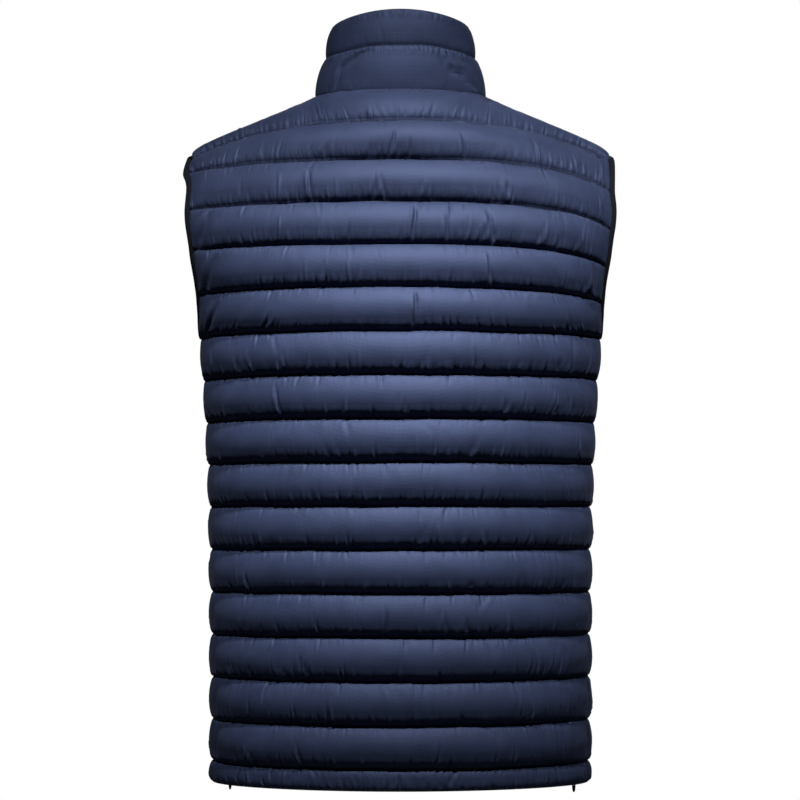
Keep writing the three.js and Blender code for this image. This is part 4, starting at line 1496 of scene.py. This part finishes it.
    def outside(self, body: Body) -> tuple[np.ndarray, np.ndarray]:
        """Adds the padded outside, and keeps its stitched lines.

        Args:
            body: Takes the faces.

        Returns:
            The points' numbers, and their rows' quilting lines.
        """
        q = self.quilting
        columns = np.linspace(self.first, self.last, self.columns)
        places = self.places(self.row_steps)
        base = self.base(places, columns)
        normal = self.directions(base)
        steps = np.linalg.norm(np.diff(base, axis=1), axis=2)
        along = np.concatenate([np.zeros((len(base), 1)), np.cumsum(steps, axis=1)], axis=1)
        along = along - along[:, [int(np.argmin(np.abs(columns)))]]
        drops = np.linalg.norm(np.diff(base, axis=0), axis=2)
        down = np.concatenate([np.zeros((1, base.shape[1])), np.cumsum(drops, axis=0)], axis=0)
        tall = [down[places <= k + 1][-1] - down[places >= k][0] for k in range(self.lines)]
        height = np.array([float(np.median(drop)) for drop in tall])
        t = places - np.floor(places)
        near = (np.minimum(t, 1 - t) * height[np.minimum(places.astype(int), self.lines - 1)])[:, None]
        sewn = (places > 0.5) & (places < self.lines - 0.5)
        groove = q.groove * np.exp(-((near / q.groove_width) ** 2)) * sewn[:, None]
        out = q.wall + self.loft(along, places, columns)
        fill = np.clip((out - q.wall) / q.loft, 0, 1) ** 0.5
        out = out + self.puckers(along, places, height) * np.minimum(fill * q.pucker_gain, 1)
        creased = self.crease_depth(along, down, columns, places)
        out = out - creased * np.minimum(fill * q.crease_gain, 1) - groove
        out = np.maximum(out, q.wall * q.thinnest)
        slope = unit(np.gradient(base, axis=0))
        outer = base + slope * self.sway(along, places)[:, :, None] + normal * out[:, :, None]
        low = np.clip((t - q.low_start) / q.low_span, 0, 1)[:, None]
        lay = np.stack([along, down, *(value * np.ones_like(along) for value in (near, low))], axis=2)
        self.seams = [(outer[row], normal[row]) for row in np.nonzero(places % 1 == 0)[0][:-1]]
        ids = body.add(outer, lay)
        body.grid(ids)
        return ids, places

    def inside(self, body: Body) -> tuple[np.ndarray, np.ndarray]:
        """Adds the plainer inside, with fewer points.

        Args:
            body: Takes the faces.

        Returns:
            The points' numbers, and their rows' quilting lines.
        """
        columns = np.linspace(self.first, self.last, self.inner_columns)
        places = self.places(self.inner_steps)
        inner = self.base(places, columns)
        part = places - np.floor(places)
        puff = self.quilting.inner_puff * np.maximum(1 - np.abs(2 * part - 1) ** 2, 0)
        across = 2 * (columns - self.first) / (self.last - self.first) - 1
        fade = 1 - np.abs(across) ** self.inner_edge_power
        inner = inner - self.directions(inner) * (puff[:, None] * fade[None, :])[:, :, None]
        ids = body.add(inner, self.inner_lay(inner, part))
        body.grid(ids, True)
        return ids, places

    def build(self) -> bpy.types.Object:
        """Makes the panel's mesh, a closed wall."""
        body = Body()
        self.close(body, self.outside(body), self.inside(body))
        body.turn_out()
        return body.make(self.name)

    def cut(self) -> tuple[tuple[float, float], float]:
        """The flat cloth that the panel is cut from: its width and length, and its area."""
        columns = np.linspace(self.first, self.last, self.inner_columns)
        base = self.base(self.places(self.inner_steps), columns)
        across, down = np.diff(base, axis=1), np.diff(base, axis=0)
        width = float(np.linalg.norm(across, axis=2).sum(axis=1).max())
        length = float(np.linalg.norm(down, axis=2).sum(axis=0).max())
        area = float(np.linalg.norm(np.cross(across[:-1], down[:, :-1]), axis=2).sum())
        return (width, length), area

    @staticmethod
    def inner_lay(inner: np.ndarray, part: np.ndarray) -> np.ndarray:
        """The cloth's own places on the inside.

        Args:
            inner: The inside's points.
            part: Each row's share of its channel.

        Returns:
            What Body.add takes as lay.
        """
        lay = np.zeros((*inner.shape[:2], 4))
        lay[:, :, 0] = np.cumsum(np.linalg.norm(np.gradient(inner, axis=1), axis=2), axis=1)
        lay[:, :, 1] = np.cumsum(np.linalg.norm(np.gradient(inner, axis=0), axis=2), axis=0)
        lay[:, :, 2] = (np.minimum(part, 1 - part) * TORSO.pitch)[:, None]
        return lay

    @staticmethod
    def close(body: Body, outer: tuple[np.ndarray, np.ndarray], inner: tuple[np.ndarray, np.ndarray]) -> None:
        """Joins the outside to the inside along the four edges.

        Args:
            body: Takes the faces.
            outer: The outside's numbers and lines.
            inner: The same of the inside.
        """
        for which in ("top", "end", "bottom", "start"):
            edges = []
            for ids, places in (outer, inner):
                share = np.linspace(0, 1, ids.shape[1])
                if which == "top":
                    edge = list(zip(ids[0].tolist(), share.tolist()))
                elif which == "bottom":
                    edge = list(zip(ids[-1][::-1].tolist(), share.tolist()))
                elif which == "end":
                    edge = list(zip(ids[:, -1].tolist(), places.tolist()))
                else:
                    edge = list(zip(ids[::-1, 0].tolist(), (-places[::-1]).tolist()))
                edges.append(edge)
            body.stitch(edges[0], edges[1])


@dataclass(frozen=True)
class Scatter:
    """Small slanting creases at uneven places of a panel. A pair of numbers is a range to draw from."""

    seed: int
    count: int
    across: tuple[float, float]
    lines: tuple[float, float] = (1, 17)
    upper: tuple[float, float] = (0.12, 0.35)
    lower: tuple[float, float] = (0.65, 0.9)
    turn: tuple[float, float] = (35, 80)
    length: tuple[float, float] = (0.010, 0.026)
    depth: tuple[float, float] = (0.0004, 0.0012)
    width: tuple[float, float] = (0.0016, 0.0032)

    def creases(self) -> tuple[Crease, ...]:
        """Draws the creases, the same on each run."""
        rng = np.random.default_rng(self.seed)
        made = []
        for _ in range(self.count):
            channel = int(rng.uniform(*self.lines))
            near = rng.choice([rng.uniform(*self.upper), rng.uniform(*self.lower)])
            turn = rng.choice([-1, 1]) * rng.uniform(*self.turn)
            length, depth = rng.uniform(*self.length), rng.uniform(*self.depth)
            across = rng.uniform(*self.across)
            made.append(Crease(across, channel + near, length, turn, depth, rng.uniform(*self.width)))
        return tuple(made)


@dataclass
class Vest:
    """The quilted panels and the collar."""

    wardrobe: Wardrobe
    side_inset: float = 0.0007
    front_loft: float = 0.0075
    collar_loft: float = 0.0036
    stitch: Grain = Grain(length=0.0024, width=0.00055, height=0.0004)
    stitch_step: float = 0.0034
    stitch_rise: float = 0.0001
    back_scatter: Scatter = Scatter(5, 60, across=(-0.92, 0.92), lines=(0, 17))
    back_creases: tuple[Crease, ...] = (
        Crease(0.36, 2.62, 0.022, 68, 0.0026, 0.0015),
        Crease(-0.05, 3.55, 0.036, 80, 0.0026, 0.0016),
        Crease(-0.17, 3.70, 0.024, 68, 0.0026, 0.0015),
        Crease(-0.34, 3.62, 0.034, 62, 0.0030, 0.0016),
        Crease(-0.33, 4.55, 0.026, 72, 0.0020, 0.0014),
        Crease(-0.05, 5.60, 0.038, 76, 0.0024, 0.0016),
        Crease(0.10, 2.80, 0.016, 88, 0.0018, 0.0014),
        Crease(0.42, 7.60, 0.026, 62, 0.0026, 0.0016),
        Crease(0.90, 3.55, 0.030, 118, 0.0026, 0.0050),
        Crease(0.88, 4.60, 0.032, 116, 0.0026, 0.0050),
        Crease(0.82, 5.55, 0.030, 114, 0.0022, 0.0045),
        Crease(-0.90, 4.50, 0.028, 60, 0.0022, 0.0045),
        Crease(0.93, 12.5, 0.034, 92, 0.0018, 0.0040),
        Crease(0.93, 13.5, 0.034, 88, 0.0018, 0.0040),
        Crease(0.93, 14.5, 0.034, 91, 0.0018, 0.0040),
        Crease(0.93, 15.5, 0.034, 89, 0.0018, 0.0040),
    )
    collar_creases: tuple[Crease, ...] = (
        Crease(0.20, 0.74, 0.036, 13, 0.0026, 0.0024),
        Crease(0.27, 0.38, 0.032, 50, 0.0024, 0.0022),
        Crease(-0.25, 0.45, 0.030, -25, 0.0036, 0.0022),
        Crease(-0.31, 0.24, 0.024, -40, 0.0026, 0.0020),
        Crease(-0.20, 0.60, 0.020, -50, 0.0018, 0.0018),
    )
    collar_rows: tuple[float, ...] = (
        0, 0.03, 0.07, 0.12, 0.18, 0.26, 0.35, 0.45, 0.55, 0.65, 0.74, 0.82, 0.88, 0.93, 0.97,
    )

    def back(self) -> bpy.types.Object:
        """The back, in one piece."""
        edge = 1 - self.side_inset
        panel = Panel(
            "quilted_back", ("back",), TORSO.back, -edge, edge, columns=480, seed=11,
            creases=self.back_creases + self.back_scatter.creases(),
        )
        return self.finish(panel)

    def front(self, side: int) -> bpy.types.Object:
        """A front, left where the side is 1 and right where it is -1.

        Args:
            side: 1 or -1.

        Returns:
            The panel.
        """
        word = side_word(side)
        panel = Panel(
            f"quilted_front_{word}", (f"front_{word}",), TORSO.front, self.side_inset, 1.0, columns=250,
            seed=30 + side, mirrored=side < 0, inner_columns=60, quilting=Quilting(loft=self.front_loft),
            creases=Scatter(20 + side, 40, across=(0.06, 0.94)).creases(),
        )
        return self.finish(panel)

    def collar(self) -> bpy.types.Object:
        """The stand-up collar."""
        loft = self.collar_loft
        quilting = Quilting(
            loft=loft, side_loft=loft, top_loft=loft, hem_loft=loft,
            pucker=0.0009, gather_depth=0.0007, gather_length=0.008,
        )
        panel = Panel(
            "quilted_collar", ("collar",), TORSO.collar, -1.0, 1.0, columns=340, seed=47, lines=2,
            quilting=quilting, creases=self.collar_creases, row_steps=self.collar_rows,
            inner_steps=(0, 0.25, 0.5, 0.75),
        )
        return self.finish(panel)

    def finish(self, panel: Panel) -> bpy.types.Object:
        """Builds a panel with its stitching, dresses both and states its cut.

        Args:
            panel: The panel.

        Returns:
            The dressed cloth.
        """
        cloth = self.wardrobe.dress(panel.build(), Slot.SHELL, VEST, *panel.nodes)
        thread = self.stitching(panel)
        flat, area = panel.cut()
        LOG.info("%s: cut %.3f by %.3f m, %.3f square metres", panel.name, *flat, area)
        return cloth

    def stitching(self, panel: Panel) -> bpy.types.Object:
        """The thread along a panel's quilting lines.

        Args:
            panel: A panel that is built.

        Returns:
            The thread.
        """
        body = Body()
        for line, out in panel.seams:
            run = run_of(line)
            places = np.arange(self.stitch_step, run[-1] - self.stitch_step, self.stitch_step)

            def at(rows: np.ndarray) -> np.ndarray:
                """Rows of numbers read at the stitches' places."""
                return np.stack([np.interp(places, run, rows[:, k]) for k in range(3)], axis=1)

            length, rise = unit(at(np.gradient(line, axis=0))), unit(at(out))
            side = unit(np.cross(rise, length))
            self.stitch.fill(body, at(line) + rise * self.stitch_rise, (length, side, np.cross(length, side)))
        return self.wardrobe.sew(body.make(panel.name.replace("quilted", "stitching")))


# Bindings, cords and the zip


@dataclass(frozen=True)
class ArmholeBinding:
    """The elastic band round an armhole."""

    side: int
    width: float = 0.0068
    thickness: float = 0.0044
    gap: float = 0.0003
    out: float = 0.0015
    steps: int = 150
    points_round: int = 18
    squareness: float = 0.6
    unevenness: float = 0.07
    uneven_step: float = 0.011
    uneven_seed: int = 60
    blend: int = 15
    slope_step: float = 0.004

    def edge(self, behind: bool) -> tuple[np.ndarray, np.ndarray]:
        """Points and outward directions along one half of the armhole, from the shoulder tip down.

        Args:
            behind: Whether it is the half on the back.

        Returns:
            The points and directions.
        """
        turn = np.linspace(0, math.pi, self.steps)
        lines = TORSO.armhole_bottom * (1 - np.cos(turn)) / 2
        if behind:
            across = np.array([1, 1 - self.slope_step]) * self.side
            rows = np.stack([TORSO.back(across, float(line)) for line in lines])
        else:
            rows = np.stack([TORSO.front(np.array([0, self.slope_step]), float(line)) for line in lines])
            rows[:, :, 0] *= self.side
        down, across = np.gradient(rows[:, 0], axis=0), rows[:, 0] - rows[:, 1]
        normal = unit(np.cross(down, across))
        middle = self.steps // 2
        if float(normal[middle, 1]) * (1 if behind else -1) < 0:
            normal = -normal
        return rows[:, 0], normal

    def build(self) -> bpy.types.Object:
        """Makes the band."""
        (back, back_out), (front, front_out) = self.edge(True), self.edge(False)
        path = np.concatenate([back, front[-2::-1]])
        out = np.concatenate([back_out, front_out[-2::-1]])[:-1]
        window = np.hanning(2 * self.blend + 1)
        wrapped = np.concatenate([out[-self.blend:], out, out[:self.blend]])
        out = np.stack([np.convolve(wrapped[:, k], window, "valid") for k in range(3)], axis=1)
        out = np.concatenate([out, out[:1]])
        way = np.gradient(path, axis=0)
        way[0] = way[-1] = path[1] - path[-2]
        way = unit(way)
        out = unit(out - way * np.sum(out * way, axis=1, keepdims=True))
        inward = unit(np.cross(out, way))
        if float(np.sum(inward[0] * (path.mean(axis=0) - path[0]))) < 0:
            inward = -inward
        angle = np.arange(self.points_round) * 2 * math.pi / self.points_round + math.pi
        circle = np.column_stack([np.cos(angle), np.sin(angle)])
        profile = np.sign(circle) * np.abs(circle) ** self.squareness
        run = run_of(path)
        fade = np.sin(math.pi * run / run[-1])[:, None, None]
        noise = Noise(self.uneven_seed + self.side)
        uneven = noise.along(run, self.uneven_step)[:, None, None] * fade
        half = np.array([self.width, self.thickness]) / 2
        section = profile[None] * half * (1 + self.unevenness * uneven)
        centre = path + inward * (self.gap + self.width / 2) + out * self.out
        body = Body()
        body.sweep(centre, (inward, out), section, ring=True)
        return body.make(f"armhole_trim_{side_word(self.side)}")


@dataclass(frozen=True)
class SeamTape:
    """The tape that binds the side seam and the shoulder seam on the inside."""

    side: int
    width: float = 0.007
    thickness: float = 0.0005
    depth: float = 0.0004
    steps: int = 70
    trim: float = 0.06

    def strip(self, body: Body, path: np.ndarray) -> None:
        """Adds a flat strip behind a seam.

        Args:
            body: Takes the faces.
            path: The seam's points.
        """
        way = unit(np.gradient(path, axis=0))
        across = unit(np.array([0.0, 1.0, 0.0]) - way * way[:, 1:2])
        out = np.cross(across, way)
        if float(out[len(out) // 2] @ np.array([self.side, 0, 1])) < 0:
            out = -out
        square = np.array([[-1, -1], [1, -1], [1, 1], [-1, 1]])
        section = square * np.array([self.width, self.thickness]) / 2
        body.sweep(path - out * self.depth, (across, out), section)

    def build(self) -> bpy.types.Object:
        """Makes both strips of one side."""
        body = Body()
        lines = np.linspace(TORSO.armhole_bottom, TORSO.hem_line - self.trim, self.steps)
        edge = np.array([float(self.side)])
        self.strip(body, np.concatenate([TORSO.back(edge, float(line)) for line in lines]))
        shoulder = np.linspace(TORSO.back_neck_share * (1 + self.trim / 2), 1 - self.trim / 4, self.steps)
        self.strip(body, TORSO.back(shoulder * self.side, 0.0))
        return body.make(f"seam_tape_{side_word(self.side)}")


@dataclass(frozen=True)
class HemCord:
    """A free loop of the elastic cord that runs in the hem. It comes out of the hem and goes back in."""

    word: str
    route: tuple[Triple, ...]
    diameter: float = 0.0018
    sides: int = 12
    steps: int = 140

    def build(self, wardrobe: Wardrobe) -> None:
        """Makes the loop and states it as a cord."""
        path = along_route(self.route, self.steps)
        angle = np.arange(self.sides) * 2 * math.pi / self.sides
        body = Body()
        circle = np.column_stack([np.cos(angle), np.sin(angle)]) * self.diameter / 2
        body.sweep(path, frames_along(path), circle)
        loop = wardrobe.dress(body.make(f"hem_elastic_{self.word}"), Slot.CORD, VEST, f"hem_cord_{self.word}")


HEM_CORDS = (
    HemCord("left", (
        (0.1747, 0.0540, -0.6900), (0.1733, 0.0532, -0.6904), (0.1720, 0.0524, -0.6920),
        (0.1715, 0.0519, -0.6950), (0.1714, 0.0516, -0.6990), (0.1715, 0.0513, -0.7035),
        (0.1719, 0.0503, -0.7072), (0.1724, 0.0484, -0.7086), (0.1729, 0.0466, -0.7072),
        (0.1733, 0.0456, -0.7035), (0.1734, 0.0454, -0.6990), (0.1736, 0.0457, -0.6950),
        (0.1746, 0.0464, -0.6920), (0.1763, 0.0475, -0.6904), (0.1779, 0.0485, -0.6900),
    )),
    HemCord("right", (
        (-0.1757, 0.0515, -0.6900), (-0.1749, 0.0509, -0.6906), (-0.1744, 0.0506, -0.6928),
        (-0.1742, 0.0504, -0.6970), (-0.1742, 0.0503, -0.7020), (-0.1743, 0.0500, -0.7070),
        (-0.1748, 0.0487, -0.7103), (-0.1754, 0.0469, -0.7114), (-0.1760, 0.0451, -0.7103),
        (-0.1764, 0.0439, -0.7070), (-0.1765, 0.0434, -0.7025), (-0.1769, 0.0424, -0.6986),
        (-0.1779, 0.0402, -0.6966), (-0.1792, 0.0376, -0.6976), (-0.1802, 0.0354, -0.7008),
        (-0.1812, 0.0332, -0.7036), (-0.1825, 0.0308, -0.7044), (-0.1837, 0.0286, -0.7030),
        (-0.1842, 0.0275, -0.6995), (-0.1843, 0.0273, -0.6950), (-0.1846, 0.0274, -0.6922),
        (-0.1851, 0.0275, -0.6906), (-0.1859, 0.0276, -0.6900),
    )),
)


@dataclass(frozen=True)
class FrontZip:
    """The zip down the centre front: coil teeth, the slider near the top of the collar, and its pull.

    The corners of a flat outline are each a place across and up, and how far from it the rounding starts.
    """

    top: float = 1.9
    collar_steps: int = 60
    front_steps: int = 340
    line_steps: int = 1200
    pitch: float = 0.0014
    tooth: Grain = Grain(0.0027, 0.00074, 0.0019, 6, ((-0.96, 0.62), (-0.7, 1.0), (-0.3, 0.86), (0.9, 0.8)))
    tooth_x: float = 0.00098
    tooth_out: float = 0.0011
    seam: Grain = Grain(0.0011, 0.0004, 0.00035)
    seam_x: float = 0.0031
    seam_pitches: float = 1.5
    slider_height: float = 1.72
    slider_step: float = 0.004
    shield: tuple[Triple, ...] = (
        (-0.0034, -0.0055, 0.0018), (0.0034, -0.0055, 0.0018), (0.0045, -0.0005, 0.0022),
        (0.0041, 0.0055, 0.0022), (-0.0041, 0.0055, 0.0022), (-0.0045, -0.0005, 0.0022),
    )
    shield_bevel: float = 0.0003
    flange: tuple[Triple, ...] = (
        (0.0033, -0.0044, 0.0004), (0.0042, -0.0038, 0.0004),
        (0.0043, 0.0036, 0.0004), (0.0033, 0.0044, 0.0004),
    )
    flange_back: float = 0.0006
    flange_sunk: float = 0.0003
    small_bevel: float = 0.0002
    plate_back: float = 0.0026
    plate_front: float = 0.0042
    bridge_half: float = 0.0037
    bridge_rise: float = 0.0034
    bridge_bar: float = 0.0013
    bridge_width: float = 0.0016
    bridge_foot: float = -0.0008
    bridge_round: float = 0.0018
    arch_round: float = 0.0006
    pin_radius: float = 0.0007
    pin_clearance: float = 0.0003
    pin_sides: int = 20
    pin_inset: float = 0.0001
    pull_half: float = 0.0035
    pull_length: float = 0.024
    pull_top: float = 0.0008
    pull_round: float = 0.0024
    pull_thickness: float = 0.0013
    pull_bevel: float = 0.0003
    notch_half: float = 0.0015
    notch_length: float = 0.0065
    notch_round: float = 0.0009
    tip_round: float = 0.0006
    grip_ribs: int = 4
    rib_start: float = 0.0042
    rib_step: float = 0.0024
    rib_half: tuple[float, float] = (0.0022, 0.0005)
    rib_round: float = 0.0004
    rib_rise: float = 0.0002
    rib_bevel: float = 0.0001

    def line(self) -> tuple[np.ndarray, np.ndarray]:
        """Points down the zip's centre and the directions out of it."""
        edge = np.array([1.0])
        heights = np.linspace(self.top, 0, self.collar_steps, endpoint=False)
        lines = np.linspace(0, TORSO.hem_line, self.front_steps)
        collar = [TORSO.collar(edge, float(height))[0] for height in heights]
        front = [TORSO.front(edge, float(line))[0] for line in lines]
        points = np.array([*collar, *front])
        points[:, 0] = 0.0
        run = run_of(points)
        even = np.linspace(0, run[-1], self.line_steps)
        points = np.stack([np.interp(even, run, points[:, k]) for k in range(3)], axis=1)
        way = unit(np.gradient(points, axis=0))
        return points, np.stack([np.zeros(len(way)), way[:, 2], -way[:, 1]], axis=1)

    def chain(self, wardrobe: Wardrobe) -> None:
        """The two rows of teeth, with the thread that holds them to their tapes."""
        points, outs = self.line()
        outs = outs * -np.sign(outs[len(outs) // 2, 1])
        run = run_of(points)
        teeth, thread = Body(), Body()
        for side in (1, -1):
            for grain, x, out, body, step in (
                (self.tooth, self.tooth_x, self.tooth_out, teeth, self.pitch),
                (self.seam, self.seam_x, 0.0, thread, self.pitch * self.seam_pitches),
            ):
                places = np.arange(step * (1 if side > 0 else 0.5), run[-1] - step, step)
                at = np.stack([np.interp(places, run, points[:, k]) for k in range(3)], axis=1)
                rise = unit(np.stack([np.interp(places, run, outs[:, k]) for k in range(3)], axis=1))
                across = np.tile([float(side), 0.0, 0.0], (len(at), 1))
                way = np.cross(rise, across)
                axes = (across, way, rise) if grain is self.tooth else (way, across, rise)
                grain.fill(body, at + across * x + rise * out, axes)
        wardrobe.dress(teeth.make("zip_coils"), Slot.TEETH, VEST, "zip_chain")
        wardrobe.sew(thread.make("zip_stitching"))

    def place(self) -> Place:
        """The slider's place on the collar: X across, Y up the zip and Z out."""
        height, step, end = self.slider_height, self.slider_step, np.array([1.0])
        edge = TORSO.collar(np.array([1.0, 1 - step]), height)
        up = TORSO.collar(end, height + step)[0] - TORSO.collar(end, height - step)[0]
        out = np.cross(edge[0] - edge[1], up) * (0, 1, 1)
        out = unit(out if out[1] < 0 else -out)
        across = np.array([1.0, 0.0, 0.0])
        return Place(edge[0] * (0, 1, 1), across, np.cross(out, across), out)

    def slider(self, wardrobe: Wardrobe) -> None:
        """The slider: its plate, its side flanges and the bridge that holds the pull."""
        place = self.place()
        body = Body()
        body.plate(rounded(self.shield), self.plate_back, self.plate_front, self.shield_bevel, place)
        for side in (-1, 1):
            flange = rounded([(x * side, y, reach) for x, y, reach in self.flange])
            front = self.plate_back + self.flange_sunk
            body.plate(flange, self.flange_back, front, self.small_bevel, place)
        half, rise, bar, foot = self.bridge_half, self.bridge_rise, self.bridge_bar, self.bridge_foot
        tight, inner, outer = self.small_bevel, self.arch_round, self.bridge_round
        arch = rounded((
            (-half, foot, tight), (-half + bar, foot, tight), (-half + bar, rise - bar, inner),
            (half - bar, rise - bar, inner), (half - bar, foot, tight),
            (half, foot, tight), (half, rise, outer), (-half, rise, outer),
        ))
        side_on = Place(place.put(np.array([0, 0, self.plate_front])), place.y, place.z, place.x)
        body.plate(arch, -self.bridge_width / 2, self.bridge_width / 2, self.small_bevel, side_on)
        wardrobe.dress(body.make("slider"), Slot.METAL, VEST, "zip_slider")

    def pull(self, wardrobe: Wardrobe) -> None:
        """The pull, with its pin through the bridge and ribs to grip."""
        place = self.place()
        up = -self.bridge_half + self.bridge_bar + self.pin_radius + self.pin_clearance
        out = self.plate_front + (self.bridge_rise - self.bridge_bar) / 2
        place = Place(place.put(np.array([0, up, out])), place.x, place.y, place.z)
        half, length, top, tip = self.pull_half, self.pull_length, self.pull_top, self.tip_round
        notch, deep, face = self.notch_half, self.notch_length, self.pull_thickness / 2
        tab = rounded((
            (-half, top, tip), (-half, -length, self.pull_round), (half, -length, self.pull_round),
            (half, top, tip), (notch, top, tip), (notch, -deep, self.notch_round),
            (-notch, -deep, self.notch_round), (-notch, top, tip),
        ))
        body = Body()
        body.plate(tab, -face, face, self.pull_bevel, place)
        wide, tall = self.rib_half
        for k in range(self.grip_ribs):
            y = -length + self.rib_start + self.rib_step * k
            corners = ((-wide, y - tall), (wide, y - tall), (wide, y + tall), (-wide, y + tall))
            rib = rounded([(*corner, self.rib_round) for corner in corners])
            body.plate(rib, face - self.rib_rise, face + self.rib_rise, self.rib_bevel, place)
        angle = np.arange(self.pin_sides) * 2 * math.pi / self.pin_sides
        circle = np.column_stack([np.cos(angle), np.sin(angle)]) * self.pin_radius
        end = half - self.pin_inset
        ends = place.put(np.array([[-end, 0, 0], [0, 0, 0], [end, 0, 0]]))
        body.sweep(ends, (np.tile(place.y, (3, 1)), np.tile(place.z, (3, 1))), circle)
        wardrobe.dress(body.make("pull_tab"), Slot.METAL, PULL, "zip_pull")

    def tapes(self, wardrobe: Wardrobe) -> None:
        """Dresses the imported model's own tapes, which stay."""
        for node in ("zip_tape_left", "zip_tape_right"):
            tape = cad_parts[node]
            tape.data.materials.clear()
            tape.data.materials.append(wardrobe.made[Slot.TAPE])


# Camera, light and floor


@dataclass(frozen=True)
class Lamp:
    """A soft light, with its strength in watts and how widely it fans out in radians."""

    name: str
    place: Triple
    aim: Triple
    size: tuple[float, float]
    power: float
    spread: float = math.pi
    reflected: bool = True

    def make(self) -> None:
        """Sets the light at its place, facing its aim."""
        data = bpy.data.lights.new(self.name, "AREA")
        data.shape = "RECTANGLE"
        data.size, data.size_y = self.size
        data.energy, data.spread = self.power, self.spread
        made = bpy.data.objects.new(self.name, data)
        made.location = self.place
        made.rotation_euler = (Vector(self.aim) - Vector(self.place)).to_track_quat("-Z", "Y").to_euler()
        made.visible_glossy = self.reflected
        bpy.context.scene.collection.objects.link(made)


LAMPS = (
    Lamp("key_right", (-1.1, 2.5, 3.9), (0.0, 0.1, -0.28), (1.4, 0.3), power=2.3, spread=0.12),
    Lamp("key_left", (0.8, 2.5, 3.9), (0.0, 0.1, -0.34), (1.4, 0.3), power=1.7, spread=0.12),
    Lamp("collar_light", (0.2, 3.2, 1.6), (0.0, 0.1, 0.06), (0.3, 0.12), power=0.07, spread=0.06),
    Lamp("front_key", (-0.6, -2.3, 1.9), (0.0, -0.1, -0.35), (1.0, 1.0), power=130, reflected=False),
)


@dataclass(frozen=True)
class Studio:
    """The camera at the photo's view, soft light from above, and a plain pale floor."""

    camera_at: Triple = (0.0005, 3.0246, -0.4525)
    pitch: float = 2.642
    focal_px: float = 2927.8
    frame_px: float = 800.0
    sensor: float = 36.0
    surround: tuple = (0.80, 0.86, 1.0, 1.0)
    surround_strength: float = 0.015
    background: tuple = (1.0, 1.0, 1.0, 1.0)
    floor_z: float = -3.0
    floor_radius: float = 1.8
    floor_sides: int = 96
    floor_colour: tuple = (0.6, 0.6, 0.6, 1.0)
    floor_roughness: float = 0.8

    def camera(self) -> None:
        """Sets the camera behind the vest."""
        data = bpy.data.cameras.new("camera")
        data.sensor_width = self.sensor
        data.lens = self.focal_px * self.sensor / self.frame_px
        made = bpy.data.objects.new("camera", data)
        made.location = self.camera_at
        made.rotation_euler = (math.radians(90 + self.pitch), 0, math.pi)
        bpy.context.scene.collection.objects.link(made)
        bpy.context.scene.camera = made

    def light(self) -> None:
        """Soft light from above, dim light from all round, and white behind the vest."""
        for lamp in LAMPS:
            lamp.make()
        world = bpy.data.worlds.new("surround")
        bpy.context.scene.world = world
        world.use_nodes = True
        nodes, links = world.node_tree.nodes, world.node_tree.links
        plain = next(n for n in nodes if n.type == "BACKGROUND")
        plain.inputs[0].default_value = self.surround
        plain.inputs[1].default_value = self.surround_strength
        white = nodes.new("ShaderNodeBackground")
        white.inputs[0].default_value = self.background
        path, choice = nodes.new("ShaderNodeLightPath"), nodes.new("ShaderNodeMixShader")
        output = next(n for n in nodes if n.type == "OUTPUT_WORLD")
        links.new(path.outputs["Is Camera Ray"], choice.inputs[0])
        links.new(plain.outputs[0], choice.inputs[1])
        links.new(white.outputs[0], choice.inputs[2])
        links.new(choice.outputs[0], output.inputs[0])
        bpy.context.scene.view_settings.view_transform = "Standard"

    def floor(self) -> None:
        """A pale round floor, well below the hem."""
        bpy.ops.mesh.primitive_circle_add(
            vertices=self.floor_sides, radius=self.floor_radius, fill_type="NGON",
            location=(0, 0, self.floor_z),
        )
        made = bpy.context.object
        made.name = "floor"
        shader = Shader("pale_floor")
        shader.surface(Base_Color=self.floor_colour, Roughness=self.floor_roughness)
        made.data.materials.append(shader.material)


def corners(box: tuple[Vector, Vector]) -> list[list[float]]:
    """A box's two corners as plain lists."""
    return [list(map(float, corner)) for corner in box]


def main() -> None:
    """Builds the vest and its studio, and notes the sizes."""
    logging.basicConfig(level=logging.INFO, format="%(name)s: %(message)s")
    studio = Studio()
    studio.camera()
    wardrobe = Wardrobe()
    for cord in HEM_CORDS:
        cord.build(wardrobe)
    vest = Vest(wardrobe)
    vest.back()
    vest.front(1)
    vest.front(-1)
    vest.collar()
    for side in (1, -1):
        node = f"armhole_binding_{side_word(side)}"
        wardrobe.dress(ArmholeBinding(side).build(), Slot.BINDING, VEST, node)
        wardrobe.dress(SeamTape(side).build(), Slot.SHELL)
    front_zip = FrontZip()
    front_zip.chain(wardrobe)
    front_zip.slider(wardrobe)
    front_zip.pull(wardrobe)
    front_zip.tapes(wardrobe)
    studio.light()
    studio.floor()


if __name__ == "__main__":
    main()
